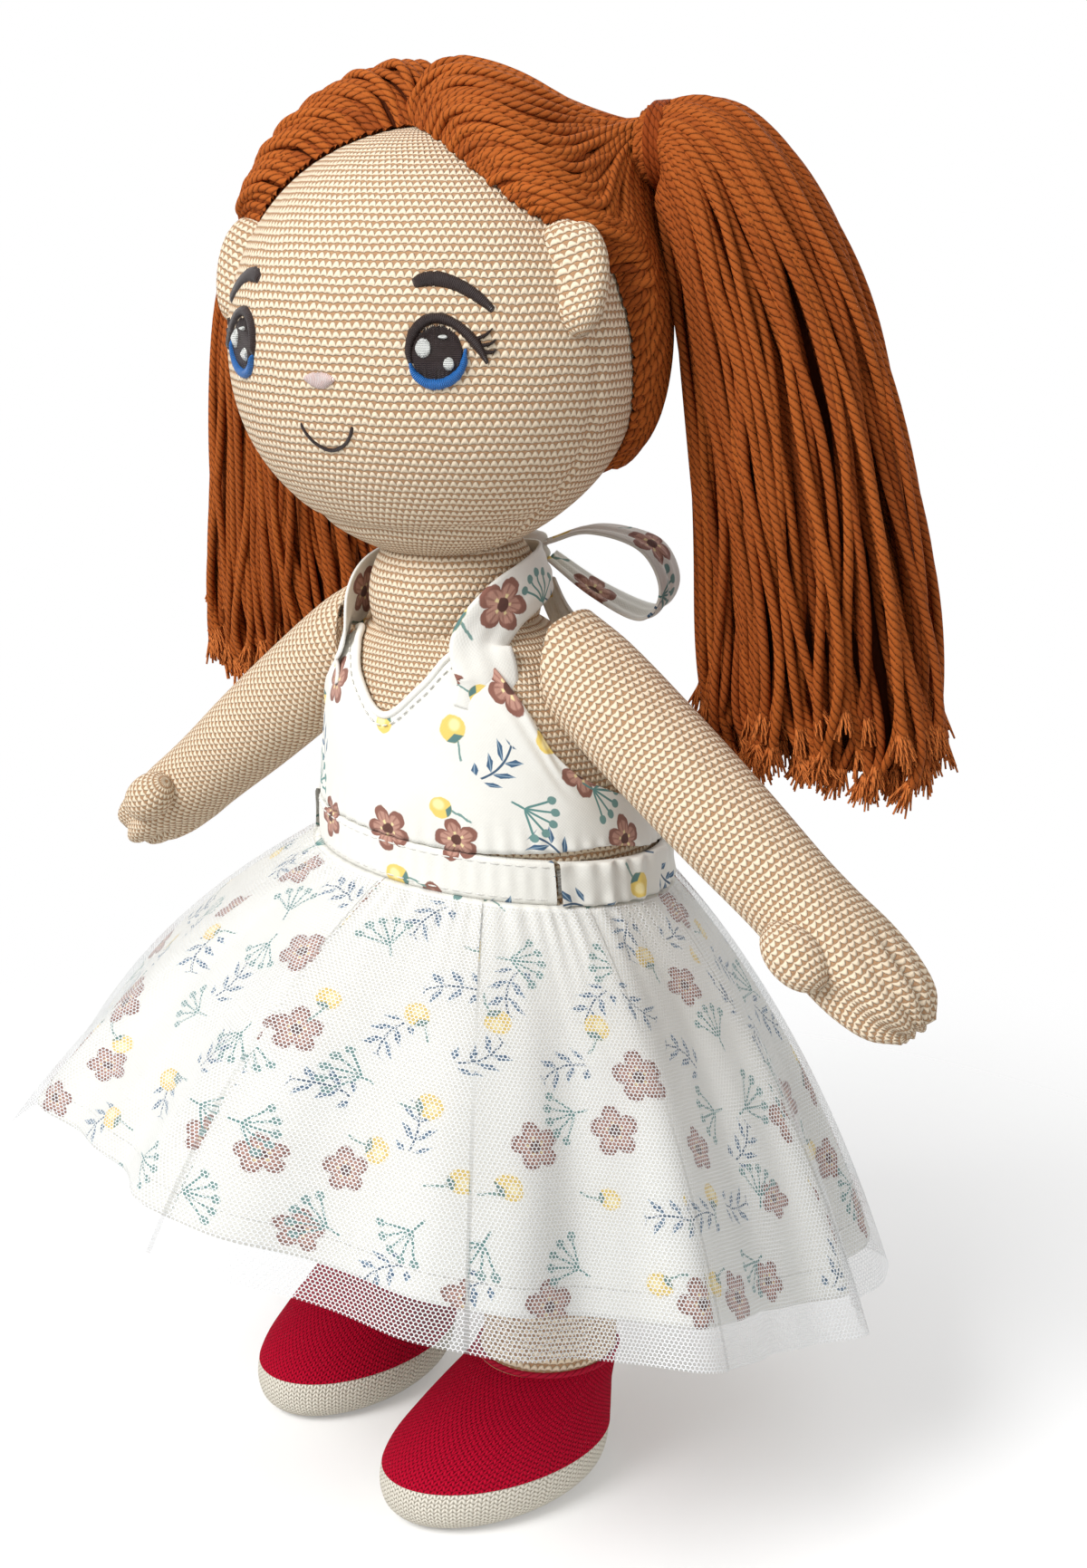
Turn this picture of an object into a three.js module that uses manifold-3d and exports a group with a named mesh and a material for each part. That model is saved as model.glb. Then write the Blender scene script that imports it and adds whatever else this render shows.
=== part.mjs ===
import * as THREE from 'three';
import Module from 'manifold-3d';

// Knitted doll in a halter dress, standing on its own flat soles. Millimetres, +Z up,
// the face looks towards -Y, the doll's left hand is at +X, the origin is on the floor.

const wasm = await Module();
wasm.setup();

// Where the doll's middle plane and its ankles' line stand from the origin
const standX = 0;
const standY = -3;

// Levels above the floor
const ankleLevel = 38;
const hipLevel = 118;
const waistLevel = 167;
const shoulderLevel = 215;
const neckLevel = 232;
const headLevel = 293;

// Walls, cloths and clearances
const knitWall = 2;
const seatGap = 0.3;
const sweepGap = 0.45;
const cottonWall = 1.1;
const tulleWall = 1;
const stitchHeight = 0.8;
const cutOverrun = 200;

// Torso: half sizes of the belly, ends of its height and how far its axis sits back
const torsoHalfWidth = 46;
const torsoHalfDepth = 39;
const torsoBottomLevel = 113;
const torsoTopLevel = 229;
const bellySetBack = 10;
const chestSetForward = 3;
// Height, width, depth and lean as shares of the sizes above
const torsoShares = [
  [0, 0.34, 0.34, 0],
  [0.03, 0.58, 0.56, 0],
  [0.09, 0.79, 0.77, 0],
  [0.18, 0.92, 0.91, 0],
  [0.31, 1, 0.99, 0],
  [0.45, 1, 1, 0.04],
  [0.58, 0.965, 0.965, 0.18],
  [0.71, 0.9, 0.89, 0.42],
  [0.82, 0.825, 0.79, 0.66],
  [0.905, 0.69, 0.66, 0.85],
  [0.965, 0.51, 0.52, 0.95],
  [1, 0.3, 0.32, 1],
];

// Neck ball between the torso and the head
const neckRadius = 22;
const neckSetForward = 4;
const neckWall = 2;

// Head
const headHalfWidth = 54;
const headHalfDepth = 41.5;
const headHalfHeight = 51;
const headSetForward = 12;
const headRestTurn = THREE.MathUtils.degToRad(4);
const headTurnLimit = THREE.MathUtils.degToRad(5);
// Widening of the cheeks and narrowing of the chin: latitude in turns, then a share
const headShapeShares = [
  [-0.25, 0.86],
  [-0.17, 0.93],
  [-0.09, 1.0],
  [0, 1.0],
  [0.12, 1.0],
  [0.25, 1.0],
];

// Ears: small stuffed tabs
const earHalfHeight = 13.5;
const earHalfReach = 9.5;
const earHalfThickness = 5;
const earLongitude = THREE.MathUtils.degToRad(73);
const earLatitude = THREE.MathUtils.degToRad(20);
const earFlare = THREE.MathUtils.degToRad(28);

// Embroidery on the face, as places on the head and sizes
const eyeHalfWidth = 7.6;
const eyeHalfHeight = 8.6;
const eyeLongitude = THREE.MathUtils.degToRad(32.3);
const eyeLatitude = THREE.MathUtils.degToRad(1.8);
const browHalfWidth = 9.6;
const browRise = 4.2;
const browThickness = 3.2;
const browLongitude = THREE.MathUtils.degToRad(36.5);
const browLatitude = THREE.MathUtils.degToRad(19);
const browTilt = THREE.MathUtils.degToRad(-17);
const noseHalfWidth = 4.6;
const noseHeight = 4;
const noseLatitude = THREE.MathUtils.degToRad(-6);
const mouthHalfWidth = 8.2;
const mouthSag = 5.6;
const mouthThickness = 1.1;
const mouthLatitude = THREE.MathUtils.degToRad(-20.5);

// Hair: cap on the scalp, ties and hanging tails
const hairSideThickness = 4;
const hairBackThickness = 4;
const hairTopThickness = 10;
const hairRise = 4;
const hairSetBack = 2;
// Front and lower edge of the cap seen from the side, as shares of the head's half
// depth and half height, from the crown down to the nape
const hairlineShares = [
  [-0.36, 2],
  [-0.36, 0.56],
  [-0.12, 0.4],
  [0.06, 0.1],
  [0.2, -0.3],
  [0.42, -0.62],
  [2, -0.66],
];
const tailTieX = 44;
const tailTieSetBack = 20;
const tailTieHeight = 46;
const tailHalfWidth = 36;
const tailHalfDepth = 20;
const tailReach = 36;
// Each tail's place and size, then its route as outward, backward and downward
// shares and two half sizes
const leftTail = { name: 'left', side: 1, setBack: 27, drop: 146 };
const rightTail = { name: 'right', side: -1, setBack: 42, drop: 146 };
leftTail.shares = [
  [0.1, 0.02, 0, 0.26, 0.47],
  [0.42, 0.12, 0.01, 0.38, 0.7],
  [0.7, 0.26, 0.11, 0.5, 0.94],
  [0.92, 0.46, 0.32, 0.7, 1],
  [1.08, 0.76, 0.66, 0.88, 1],
  [1.1, 0.94, 0.9, 0.97, 0.98],
  [1.06, 1, 1, 0.92, 0.86],
];
rightTail.shares = [
  [0.1, 0.04, 0.01, 0.26, 0.47],
  [0.36, 0.2, 0.03, 0.34, 0.62],
  [0.7, 0.4, 0.13, 0.48, 0.76],
  [1.15, 0.6, 0.32, 0.66, 0.82],
  [1.42, 0.82, 0.66, 0.84, 0.84],
  [1.5, 0.94, 0.9, 0.94, 0.82],
  [1.5, 1, 1, 0.88, 0.74],
];
const tails = [leftTail, rightTail];
// Place of the tie along a tail's route
const tieShare = 0.06;
const tieRadius = 9.4;
const tieThickness = 1.6;

// Arms: mittens on slightly bent tubes
const shoulderX = 39;
const armSeamX = 38.4;
const armLength = 115;
const armRootLength = 12;
const armSlope = THREE.MathUtils.degToRad(37);
const armHalfWidth = 13.6;
const armHalfThickness = 13.2;
const armSetBack = 3;
// Share of the length, then width and thickness shares
const armShares = [
  [0, 0.86, 0.86],
  [0.1, 0.98, 0.98],
  [0.3, 1, 1],
  [0.5, 0.97, 0.96],
  [0.66, 0.93, 0.88],
  [0.74, 1.02, 0.84],
  [0.83, 1.2, 0.8],
  [0.9, 1.16, 0.72],
  [0.96, 0.95, 0.56],
  [1, 0.52, 0.26],
];
const thumbHalfLength = 9.5;
const thumbHalfThickness = 6.3;
const thumbShare = 0.76;

// Legs and feet
const hipX = 21;
const hipRadius = 19.5;
const ankleRadius = 17.4;
const legSetBack = 9;
const leftFoot = { x: 31.5, y: -5, toeIn: THREE.MathUtils.degToRad(-14) };
const rightFoot = { x: -39, y: 13, toeIn: THREE.MathUtils.degToRad(-1) };
const footHalfLength = 33.5;
const footHalfWidth = 22;
const footForward = 18;
const soleSeamLevel = 13;
const cuffLevel = 35.5;
// Height share up to the ankle, then forward place, half length and half width shares
const footShares = [
  [0, 1.04, 0.77, 0.7],
  [0.04, 1.04, 0.88, 0.84],
  [0.13, 1.02, 0.97, 0.955],
  [0.28, 0.99, 1, 1],
  [0.42, 0.9, 0.965, 0.975],
  [0.55, 0.72, 0.875, 0.93],
  [0.68, 0.5, 0.76, 0.885],
  [0.8, 0.26, 0.65, 0.845],
  [0.92, 0.07, 0.555, 0.81],
];
const hipSwingForward = THREE.MathUtils.degToRad(40);
const hipSwingBack = THREE.MathUtils.degToRad(20);

// Dress: waistband, bodice and straps
const bandHeight = 11;
const bandWall = 2;
const casingWall = 3;
const elasticWall = 0.8;
const elasticHeight = 6;
const waistRiseHeight = 4;
const raisedWaistAzimuth = THREE.MathUtils.degToRad(-51);
const frontBandHalfAngle = THREE.MathUtils.degToRad(56);
const bandStandoff = 0.4;
const bodiceStandoff = 0.5;
const pipingHeight = 1.6;
const pipingWall = 1.6;
// Azimuth in turns from the front towards the doll's left, then the levels of the
// bodice's upper and lower edges as shares of the height from the waist to the neck
const bodiceShares = [
  [-0.5, 0.25, 0.03],
  [-0.28, 0.25, 0.05],
  [-0.215, 0.34, 0.1],
  [-0.178, 0.47, 0.1],
  [-0.155, 0.68, 0.1],
  [-0.125, 0.85, 0.1],
  [-0.08, 0.81, 0.1],
  [-0.045, 0.7, 0.1],
  [0, 0.58, 0.1],
  [0.045, 0.7, 0.1],
  [0.08, 0.81, 0.1],
  [0.125, 0.85, 0.1],
  [0.155, 0.68, 0.1],
  [0.178, 0.47, 0.1],
  [0.215, 0.34, 0.1],
  [0.28, 0.25, 0.05],
  [0.5, 0.25, 0.03],
];
// Steps of the bodice between which the piping runs
const pipingFrom = -6;
const pipingTo = 6;
const strapWidth = 11;
const strapStandoff = 1.6;
// Azimuth in turns from the front round to the back, then height above the neck's
// middle and distance from its axis as shares of its radius
const strapShares = [
  [0.15, -0.34, 1.21],
  [0.19, 0.0, 1.13],
  [0.25, 0.18, 1.06],
  [0.32, 0.29, 1.03],
  [0.4, 0.32, 1.03],
  [0.488, 0.32, 1.03],
];
const knotHalfWidth = 6.5;
const knotHalfHeight = 6;
const knotHalfDepth = 4.5;
const knotHeight = 8;
const bowLoopReach = 37;
const bowLoopHeight = 20;
const bowLoopBack = 12;
const bowLoopWidth = 12;
const bowTailWidth = 10;
// Sideways, backward and upward shares of a loop's route from the knot
const bowLoopShares = [
  [0.17, 0.1, 0.1],
  [0.5, 0.45, 0.3],
  [0.88, 0.8, 0.14],
  [1, 1, -0.36],
  [0.85, 0.95, -0.74],
  [0.5, 0.6, -0.5],
  [0.17, 0.2, -0.08],
];
const bowTailDrop = 40;
const bowTailReach = 15;
const bowTailBack = 17;
// Sideways, backward and downward shares of a tail's route from the knot
const bowTailShares = [
  [0.4, 0, 0.17],
  [0.46, 0.3, 0.42],
  [0.7, 0.65, 0.7],
  [1, 1, 1],
];

// Skirts: reach and level of the hem, raised on the doll's right front
const hemReach = 110;
const hemReachLean = 9;
const hemLevel = 68;
const hemRiseHeight = 28;
const raisedHemAzimuth = THREE.MathUtils.degToRad(-30);
const widestHemAzimuth = THREE.MathUtils.degToRad(-51);
const foldCount = 11;
const foldDepth = 4.6;
const cottonShare = 0.93;
const layerGap = 1.5;
const domeShare = 0.25;
const droopShare = 0.3;
const foldRiseShare = 0.25;

// Numbers of steps round and along the forms
const fineSteps = 20;
const roundSteps = 14;
const limbSteps = 12;
const tailSteps = 12;
const tailRows = 12;
const smallSteps = 10;
const ropeSteps = 6;
const tubeRows = 2;
const capRows = 3;
const swingSteps = 16;
const arcSteps = 6;
const bodiceSteps = 48;
const bodiceRows = 4;
const bandSteps = 20;
const bandRows = 1;
const skirtSteps = 55;
const skirtRows = 3;

const knit = new THREE.MeshStandardMaterial({ color: 0xe3cdae, roughness: 0.95, metalness: 0 });
const stuffing = new THREE.MeshStandardMaterial({ color: 0xf3f1ea, roughness: 1, metalness: 0 });
const yarn = new THREE.MeshStandardMaterial({ color: 0xa9521d, roughness: 0.9, metalness: 0 });
const cotton = new THREE.MeshStandardMaterial({ color: 0xf4f3ee, roughness: 0.9, metalness: 0 });
const tulle = new THREE.MeshStandardMaterial({ color: 0xfafafa, roughness: 0.8, metalness: 0 });
const elastic = new THREE.MeshStandardMaterial({ color: 0xf0eee6, roughness: 0.85, metalness: 0 });
const tieBand = new THREE.MeshStandardMaterial({ color: 0x8a4218, roughness: 0.85, metalness: 0 });
const crimson = new THREE.MeshStandardMaterial({ color: 0xa5132f, roughness: 0.9, metalness: 0 });
const cream = new THREE.MeshStandardMaterial({ color: 0xe6e1d3, roughness: 0.95, metalness: 0 });
const darkThread = new THREE.MeshStandardMaterial({ color: 0x2b1d1b, roughness: 0.5, metalness: 0 });
const pinkThread = new THREE.MeshStandardMaterial({ color: 0xf0cfc8, roughness: 0.5, metalness: 0 });

const doll = new THREE.Group();
const up = new THREE.Vector3(0, 0, 1);

function addPiece(name, solid, material) {
  const mesh = solid.getMesh();
  const geometry = new THREE.BufferGeometry();
  geometry.setAttribute('position', new THREE.BufferAttribute(mesh.vertProperties, 3));
  geometry.setIndex(new THREE.BufferAttribute(mesh.triVerts, 1));
  geometry.computeVertexNormals();
  const piece = new THREE.Mesh(geometry, material);
  piece.name = name;
  doll.add(piece);
}

function signedVolume(points, faces) {
  let volume = 0;
  for (let k = 0; k < faces.length; k += 3) {
    const [a, b, c] = [points[faces[k]], points[faces[k + 1]], points[faces[k + 2]]];
    volume += a.dot(b.clone().cross(c));
  }
  return volume;
}

// A closed surface of points and faces, turned so that its faces point outwards
function solidOf(points, faces) {
  const outward = signedVolume(points, faces) > 0;
  const turned = outward ? faces : faces.slice().reverse();
  const mesh = new wasm.Mesh({
    numProp: 3,
    vertProperties: Float32Array.from(points.flatMap((p) => [p.x, p.y, p.z])),
    triVerts: Uint32Array.from(turned),
  });
  return new wasm.Manifold(mesh);
}

// Rings of equal counts joined side by side, with a fan on each end
function loft(rings) {
  const count = rings[0].length;
  const points = rings.flat();
  const faces = [];
  for (let row = 0; row < rings.length - 1; row += 1) {
    for (let k = 0; k < count; k += 1) {
      const next = (k + 1) % count;
      const [a, b] = [row * count + k, row * count + next];
      faces.push(a, b, b + count, a, b + count, a + count);
    }
  }
  for (const [row, flipped] of [[0, true], [rings.length - 1, false]]) {
    const middle = new THREE.Vector3();
    rings[row].forEach((p) => middle.addScaledVector(p, 1 / count));
    points.push(middle);
    const tip = points.length - 1;
    for (let k = 0; k < count; k += 1) {
      const [a, b] = [row * count + k, row * count + ((k + 1) % count)];
      faces.push(...(flipped ? [b, a, tip] : [a, b, tip]));
    }
  }
  return solidOf(points, faces);
}

// Sections of equal counts round a closed turn, or along an arc with flat ends
function sweep(sections, closed) {
  const count = sections[0].length;
  const points = sections.flat();
  const faces = [];
  const last = closed ? sections.length : sections.length - 1;
  for (let row = 0; row < last; row += 1) {
    const after = (row + 1) % sections.length;
    for (let k = 0; k < count; k += 1) {
      const next = (k + 1) % count;
      faces.push(row * count + k, row * count + next, after * count + next);
      faces.push(row * count + k, after * count + next, after * count + k);
    }
  }
  if (!closed) {
    const half = count / 2;
    for (const [row, flipped] of [[0, true], [sections.length - 1, false]]) {
      for (let k = 0; k < half - 1; k += 1) {
        const [a, b] = [row * count + k, row * count + k + 1];
        const [c, d] = [row * count + count - 2 - k, row * count + count - 1 - k];
        faces.push(...(flipped ? [b, a, c, a, d, c] : [a, b, c, a, c, d]));
      }
    }
  }
  return solidOf(points, faces);
}

function ellipseRing(middle, along, across, count) {
  const ring = [];
  for (let k = 0; k < count; k += 1) {
    const angle = (2 * Math.PI * k) / count;
    const point = middle.clone().addScaledVector(along, Math.cos(angle));
    ring.push(point.addScaledVector(across, Math.sin(angle)));
  }
  return ring;
}

// Smooth reading of a table whose first column rises
function readTable(rows, share) {
  let k = 0;
  while (k < rows.length - 2 && share > rows[k + 1][0]) k += 1;
  const [from, to] = [rows[k], rows[k + 1]];
  const before = rows[Math.max(k - 1, 0)];
  const after = rows[Math.min(k + 2, rows.length - 1)];
  const span = to[0] - from[0];
  const t = (share - from[0]) / span;
  return from.map((value, column) => {
    const startSlope = (to[column] - before[column]) / (to[0] - before[0]);
    const endSlope = (after[column] - value) / (after[0] - from[0]);
    const blend = t * t * (3 - 2 * t);
    const bendStart = t * (1 - t) * (1 - t) * span * startSlope;
    const bendEnd = t * t * (t - 1) * span * endSlope;
    return value + (to[column] - value) * blend + bendStart + bendEnd;
  });
}

function ellipsoid(middle, axes, count) {
  const [a, b, c] = axes;
  const rings = [];
  const rows = count / 2;
  for (let row = 1; row < rows; row += 1) {
    const tilt = Math.PI * (row / rows - 0.5);
    const centre = middle.clone().addScaledVector(c, Math.sin(tilt));
    const [along, across] = [a, b].map((axis) => axis.clone().multiplyScalar(Math.cos(tilt)));
    rings.push(ellipseRing(centre, along, across, count));
  }
  return loft(rings);
}

function turned(solid, centre, axis, angle) {
  const move = new THREE.Matrix4().makeTranslation(-centre.x, -centre.y, -centre.z);
  move.premultiply(new THREE.Matrix4().makeRotationAxis(axis, angle));
  move.premultiply(new THREE.Matrix4().makeTranslation(centre.x, centre.y, centre.z));
  return solid.transform(move.elements);
}

// Block with one corner pair at the given places, for cuts
function block(low, high) {
  const size = high.clone().sub(low);
  const geometry = new THREE.BoxGeometry(size.x, size.y, size.z);
  geometry.translate(...low.clone().add(high).multiplyScalar(0.5).toArray());
  return geometrySolid(geometry);
}

function geometrySolid(geometry) {
  const place = geometry.getAttribute('position');
  const index = geometry.getIndex();
  const count = index ? index.count : place.count;
  const points = [];
  const faces = [];
  const known = new Map();
  for (let k = 0; k < count; k += 1) {
    const point = new THREE.Vector3().fromBufferAttribute(place, index ? index.getX(k) : k);
    const key = point.toArray().map((value) => Math.fround(value)).join();
    if (!known.has(key)) {
      known.set(key, points.length);
      points.push(point);
    }
    faces.push(known.get(key));
  }
  return solidOf(points, faces);
}

// Torso

const torsoHeight = torsoTopLevel - torsoBottomLevel;

function torsoSection(level, standoff) {
  const share = THREE.MathUtils.clamp((level - torsoBottomLevel) / torsoHeight, 0, 1);
  const [, width, depth, lean] = readTable(torsoShares, share);
  return {
    halfWidth: torsoHalfWidth * width + standoff,
    halfDepth: torsoHalfDepth * depth + standoff,
    y: standY + bellySetBack - (bellySetBack + chestSetForward) * lean,
  };
}

function torsoPoint(azimuth, level, standoff) {
  const section = torsoSection(level, standoff);
  const x = standX + section.halfWidth * Math.sin(azimuth);
  const y = section.y - section.halfDepth * Math.cos(azimuth);
  return new THREE.Vector3(x, y, level);
}

function torsoForm(standoff, count) {
  const rings = torsoShares.map(([share]) => {
    const level = torsoBottomLevel + torsoHeight * share;
    const section = torsoSection(level, standoff);
    const shift = standoff * (2 * share - 1);
    const middle = new THREE.Vector3(standX, section.y, level + shift);
    const along = new THREE.Vector3(section.halfWidth, 0, 0);
    const across = new THREE.Vector3(0, section.halfDepth, 0);
    return ellipseRing(middle, along, across, count);
  });
  return loft(rings);
}

const torsoClear = torsoForm(seatGap, fineSteps);

// Head

const headMiddle = new THREE.Vector3(standX, standY - headSetForward, headLevel);

function onHead(offset) {
  return offset.clone().applyAxisAngle(up, headRestTurn).add(headMiddle);
}

function headOffset(longitude, latitude, standoff) {
  const [, shape] = readTable(headShapeShares, latitude / (2 * Math.PI));
  const round = Math.cos(latitude) * shape;
  return new THREE.Vector3(
    (headHalfWidth + standoff) * round * Math.sin(longitude),
    -(headHalfDepth + standoff) * round * Math.cos(longitude),
    (headHalfHeight + standoff) * Math.sin(latitude),
  );
}

function headForm(standoff, count) {
  const rings = [];
  const rows = count / 2;
  for (let row = 1; row < rows; row += 1) {
    const latitude = Math.PI * (row / rows - 0.5);
    const ring = [];
    for (let k = 0; k < count; k += 1) {
      ring.push(onHead(headOffset((2 * Math.PI * k) / count, latitude, standoff)));
    }
    rings.push(ring);
  }
  return loft(rings);
}

// Directions on the head at a place: outwards, towards the doll's left, and up
function headFrame(longitude, latitude) {
  const place = headOffset(longitude, latitude, 0);
  const outward = new THREE.Vector3(
    place.x / headHalfWidth ** 2,
    place.y / headHalfDepth ** 2,
    place.z / headHalfHeight ** 2,
  ).normalize();
  const side = up.clone().cross(outward).normalize();
  const rise = outward.clone().cross(side);
  return { place, outward, side, rise };
}

const headOuter = headForm(0, fineSteps);
const headInner = headForm(-knitWall, roundSteps);
const headClear = headForm(seatGap, fineSteps);
const neckMiddle = new THREE.Vector3(standX, standY - neckSetForward, neckLevel);

function axisTriple(x, y, z) {
  return [new THREE.Vector3(x, 0, 0), new THREE.Vector3(0, y, 0), new THREE.Vector3(0, 0, z)];
}

function ball(middle, radius, count) {
  return ellipsoid(middle, axisTriple(radius, radius, radius), count);
}

function buildNeck() {
  let headSweep = headClear;
  for (const side of [-1, 1]) {
    headSweep = headSweep.add(turned(headClear, neckMiddle, up, side * headTurnLimit));
  }
  const outer = ball(neckMiddle, neckRadius, roundSteps);
  const inner = ball(neckMiddle, neckRadius - neckWall, roundSteps);
  addPiece('neck_skin', outer.subtract(inner).subtract(headSweep), knit);
  const core = ball(neckMiddle, neckRadius - neckWall - seatGap, roundSteps);
  addPiece('neck_filling', core.subtract(headSweep), stuffing);
}

function buildHead() {
  const opening = ball(neckMiddle, neckRadius - neckWall, roundSteps);
  addPiece('head_skin', headOuter.subtract(headInner).subtract(opening), knit);
  addPiece('head_filling', headForm(-knitWall - seatGap, roundSteps), stuffing);
}

// Ears

function earForm(side, standoff) {
  const { place, outward, side: across, rise } = headFrame(side * earLongitude, earLatitude);
  const reach = outward.clone().applyAxisAngle(rise, side * earFlare);
  const thick = across.clone().applyAxisAngle(rise, side * earFlare);
  const axes = [
    reach.multiplyScalar(earHalfReach + standoff),
    thick.multiplyScalar(earHalfThickness + standoff),
    rise.clone().multiplyScalar(earHalfHeight + standoff),
  ].map((axis) => axis.applyAxisAngle(up, headRestTurn));
  return ellipsoid(onHead(place), axes, smallSteps);
}

function buildEars() {
  for (const [name, side] of [['ear_left', 1], ['ear_right', -1]]) {
    addPiece(name, earForm(side, 0).subtract(headClear), knit);
  }
}

// Embroidery

function stitched(outline, longitude, latitude, tilt) {
  const { place, outward, side, rise } = headFrame(longitude, latitude);
  const depth = headHalfDepth / 2;
  const geometry = new THREE.ExtrudeGeometry(outline, { depth, bevelEnabled: false });
  geometry.deleteAttribute('normal');
  geometry.deleteAttribute('uv');
  geometry.translate(0, 0, -depth / 2);
  geometry.rotateZ(tilt);
  const frame = new THREE.Matrix4().makeBasis(side, rise, outward).setPosition(place);
  geometry.applyMatrix4(frame);
  geometry.rotateZ(headRestTurn);
  geometry.translate(...headMiddle.toArray());
  const skin = headForm(seatGap + stitchHeight, fineSteps);
  return geometrySolid(geometry).intersect(skin).subtract(headClear);
}

function arcBand(halfWidth, rise, thickness) {
  const upper = [];
  const lower = [];
  for (let k = 0; k <= arcSteps; k += 1) {
    const t = (2 * k) / arcSteps - 1;
    const level = rise * (1 - t * t);
    upper.push(new THREE.Vector2(halfWidth * t, level + thickness / 2));
    lower.unshift(new THREE.Vector2(halfWidth * t, level - thickness / 2));
  }
  return new THREE.Shape([...upper, ...lower]);
}

function oval(halfWidth, halfHeight) {
  const points = [];
  for (let k = 0; k < roundSteps; k += 1) {
    const angle = (2 * Math.PI * k) / roundSteps;
    points.push(new THREE.Vector2(halfWidth * Math.cos(angle), halfHeight * Math.sin(angle)));
  }
  return new THREE.Shape(points);
}

function buildFace() {
  const eye = oval(eyeHalfWidth, eyeHalfHeight);
  const brow = arcBand(browHalfWidth, browRise, browThickness);
  for (const [name, side] of [['left', 1], ['right', -1]]) {
    const patch = stitched(eye, side * eyeLongitude, eyeLatitude, 0);
    addPiece(`eye_stitching_${name}`, patch, darkThread);
    const arch = stitched(brow, side * browLongitude, browLatitude, side * browTilt);
    addPiece(`brow_stitching_${name}`, arch, darkThread);
  }
  const nose = oval(noseHalfWidth, noseHeight / 2);
  addPiece('nose_stitching', stitched(nose, 0, noseLatitude, 0), pinkThread);
  const mouth = arcBand(mouthHalfWidth, -mouthSag, mouthThickness);
  addPiece('mouth_stitching', stitched(mouth, 0, mouthLatitude, 0), darkThread);
}

// Hair

function hairForm() {
  const middle = onHead(new THREE.Vector3(0, hairSetBack, hairRise));
  const axes = axisTriple(
    headHalfWidth + hairSideThickness,
    headHalfDepth + hairBackThickness,
    headHalfHeight + hairTopThickness,
  ).map((axis) => axis.applyAxisAngle(up, headRestTurn));
  return ellipsoid(middle, axes, fineSteps);
}

function faceCutter() {
  const points = hairlineShares.map(([back, rise]) => {
    return new THREE.Vector2(back * headHalfDepth, rise * headHalfHeight);
  });
  points.push(new THREE.Vector2(cutOverrun, -cutOverrun));
  points.push(new THREE.Vector2(-cutOverrun, -cutOverrun));
  points.push(new THREE.Vector2(-cutOverrun, cutOverrun));
  points.push(new THREE.Vector2(points[0].x, cutOverrun));
  const outline = new THREE.Shape(points);
  const depth = 2 * cutOverrun;
  const geometry = new THREE.ExtrudeGeometry(outline, { depth, bevelEnabled: false });
  geometry.deleteAttribute('normal');
  geometry.deleteAttribute('uv');
  geometry.translate(0, 0, -cutOverrun);
  const frame = new THREE.Matrix4().makeBasis(
    new THREE.Vector3(0, 1, 0),
    up,
    new THREE.Vector3(1, 0, 0),
  );
  geometry.applyMatrix4(frame);
  geometry.rotateZ(headRestTurn);
  geometry.translate(...headMiddle.toArray());
  return geometrySolid(geometry);
}

function tailCurve({ side, setBack, drop, shares }) {
  return new THREE.CatmullRomCurve3(shares.map(([out, back, down]) => onHead(new THREE.Vector3(
    side * (tailTieX + out * tailReach),
    tailTieSetBack + back * setBack,
    tailTieHeight - down * drop,
  ))));
}

function tailForm(tail, standoff) {
  const curve = tailCurve(tail);
  const last = tail.shares.length - 1;
  const sizes = tail.shares.map((entry, index) => [index, entry[3], entry[4]]);
  const rings = [];
  for (let k = 0; k <= tailRows; k += 1) {
    const t = k / tailRows;
    const [, width, depth] = readTable(sizes, t * last);
    const along = curve.getTangent(t);
    const backward = new THREE.Vector3(0, 1, 0).applyAxisAngle(up, headRestTurn);
    backward.addScaledVector(along, -backward.dot(along)).normalize();
    const sideways = along.clone().cross(backward);
    backward.multiplyScalar(tailHalfDepth * depth + standoff);
    sideways.multiplyScalar(tailHalfWidth * width + standoff);
    rings.push(ellipseRing(curve.getPoint(t), sideways, backward, tailSteps));
  }
  return loft(rings);
}

function buildHair() {
  let cap = hairForm().subtract(headClear).subtract(faceCutter());
  for (const side of [-1, 1]) cap = cap.subtract(earForm(side, seatGap));
  for (const tail of tails) {
    const curve = tailCurve(tail);
    cap = cap.subtract(ball(curve.getPoint(0), tieRadius + seatGap, roundSteps));
    cap = cap.subtract(tieForm(curve, seatGap));
    cap = cap.subtract(tailForm(tail, sweepGap));
    addPiece(`pigtail_${tail.name}`, tailForm(tail, 0).subtract(tieForm(curve, seatGap)), yarn);
    addPiece(`hair_tie_${tail.name}`, tieForm(curve, 0), tieBand);
  }
  addPiece('hair_cap', cap, yarn);
}

function tieForm(curve, standoff) {
  const middle = curve.getPoint(tieShare);
  const along = curve.getTangent(tieShare);
  const across = new THREE.Vector3(0, 1, 0).cross(along).normalize();
  const other = along.clone().cross(across);
  const reach = tieThickness + standoff;
  const sections = [];
  for (let k = 0; k < tailSteps; k += 1) {
    const angle = (2 * Math.PI * k) / tailSteps;
    const out = across.clone().multiplyScalar(Math.cos(angle));
    out.addScaledVector(other, Math.sin(angle));
    const centre = middle.clone().addScaledVector(out, tieRadius);
    out.multiplyScalar(reach);
    const forward = along.clone().multiplyScalar(reach);
    sections.push(ellipseRing(centre, out, forward, ropeSteps));
  }
  return sweep(sections, true);
}

// Arms

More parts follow.
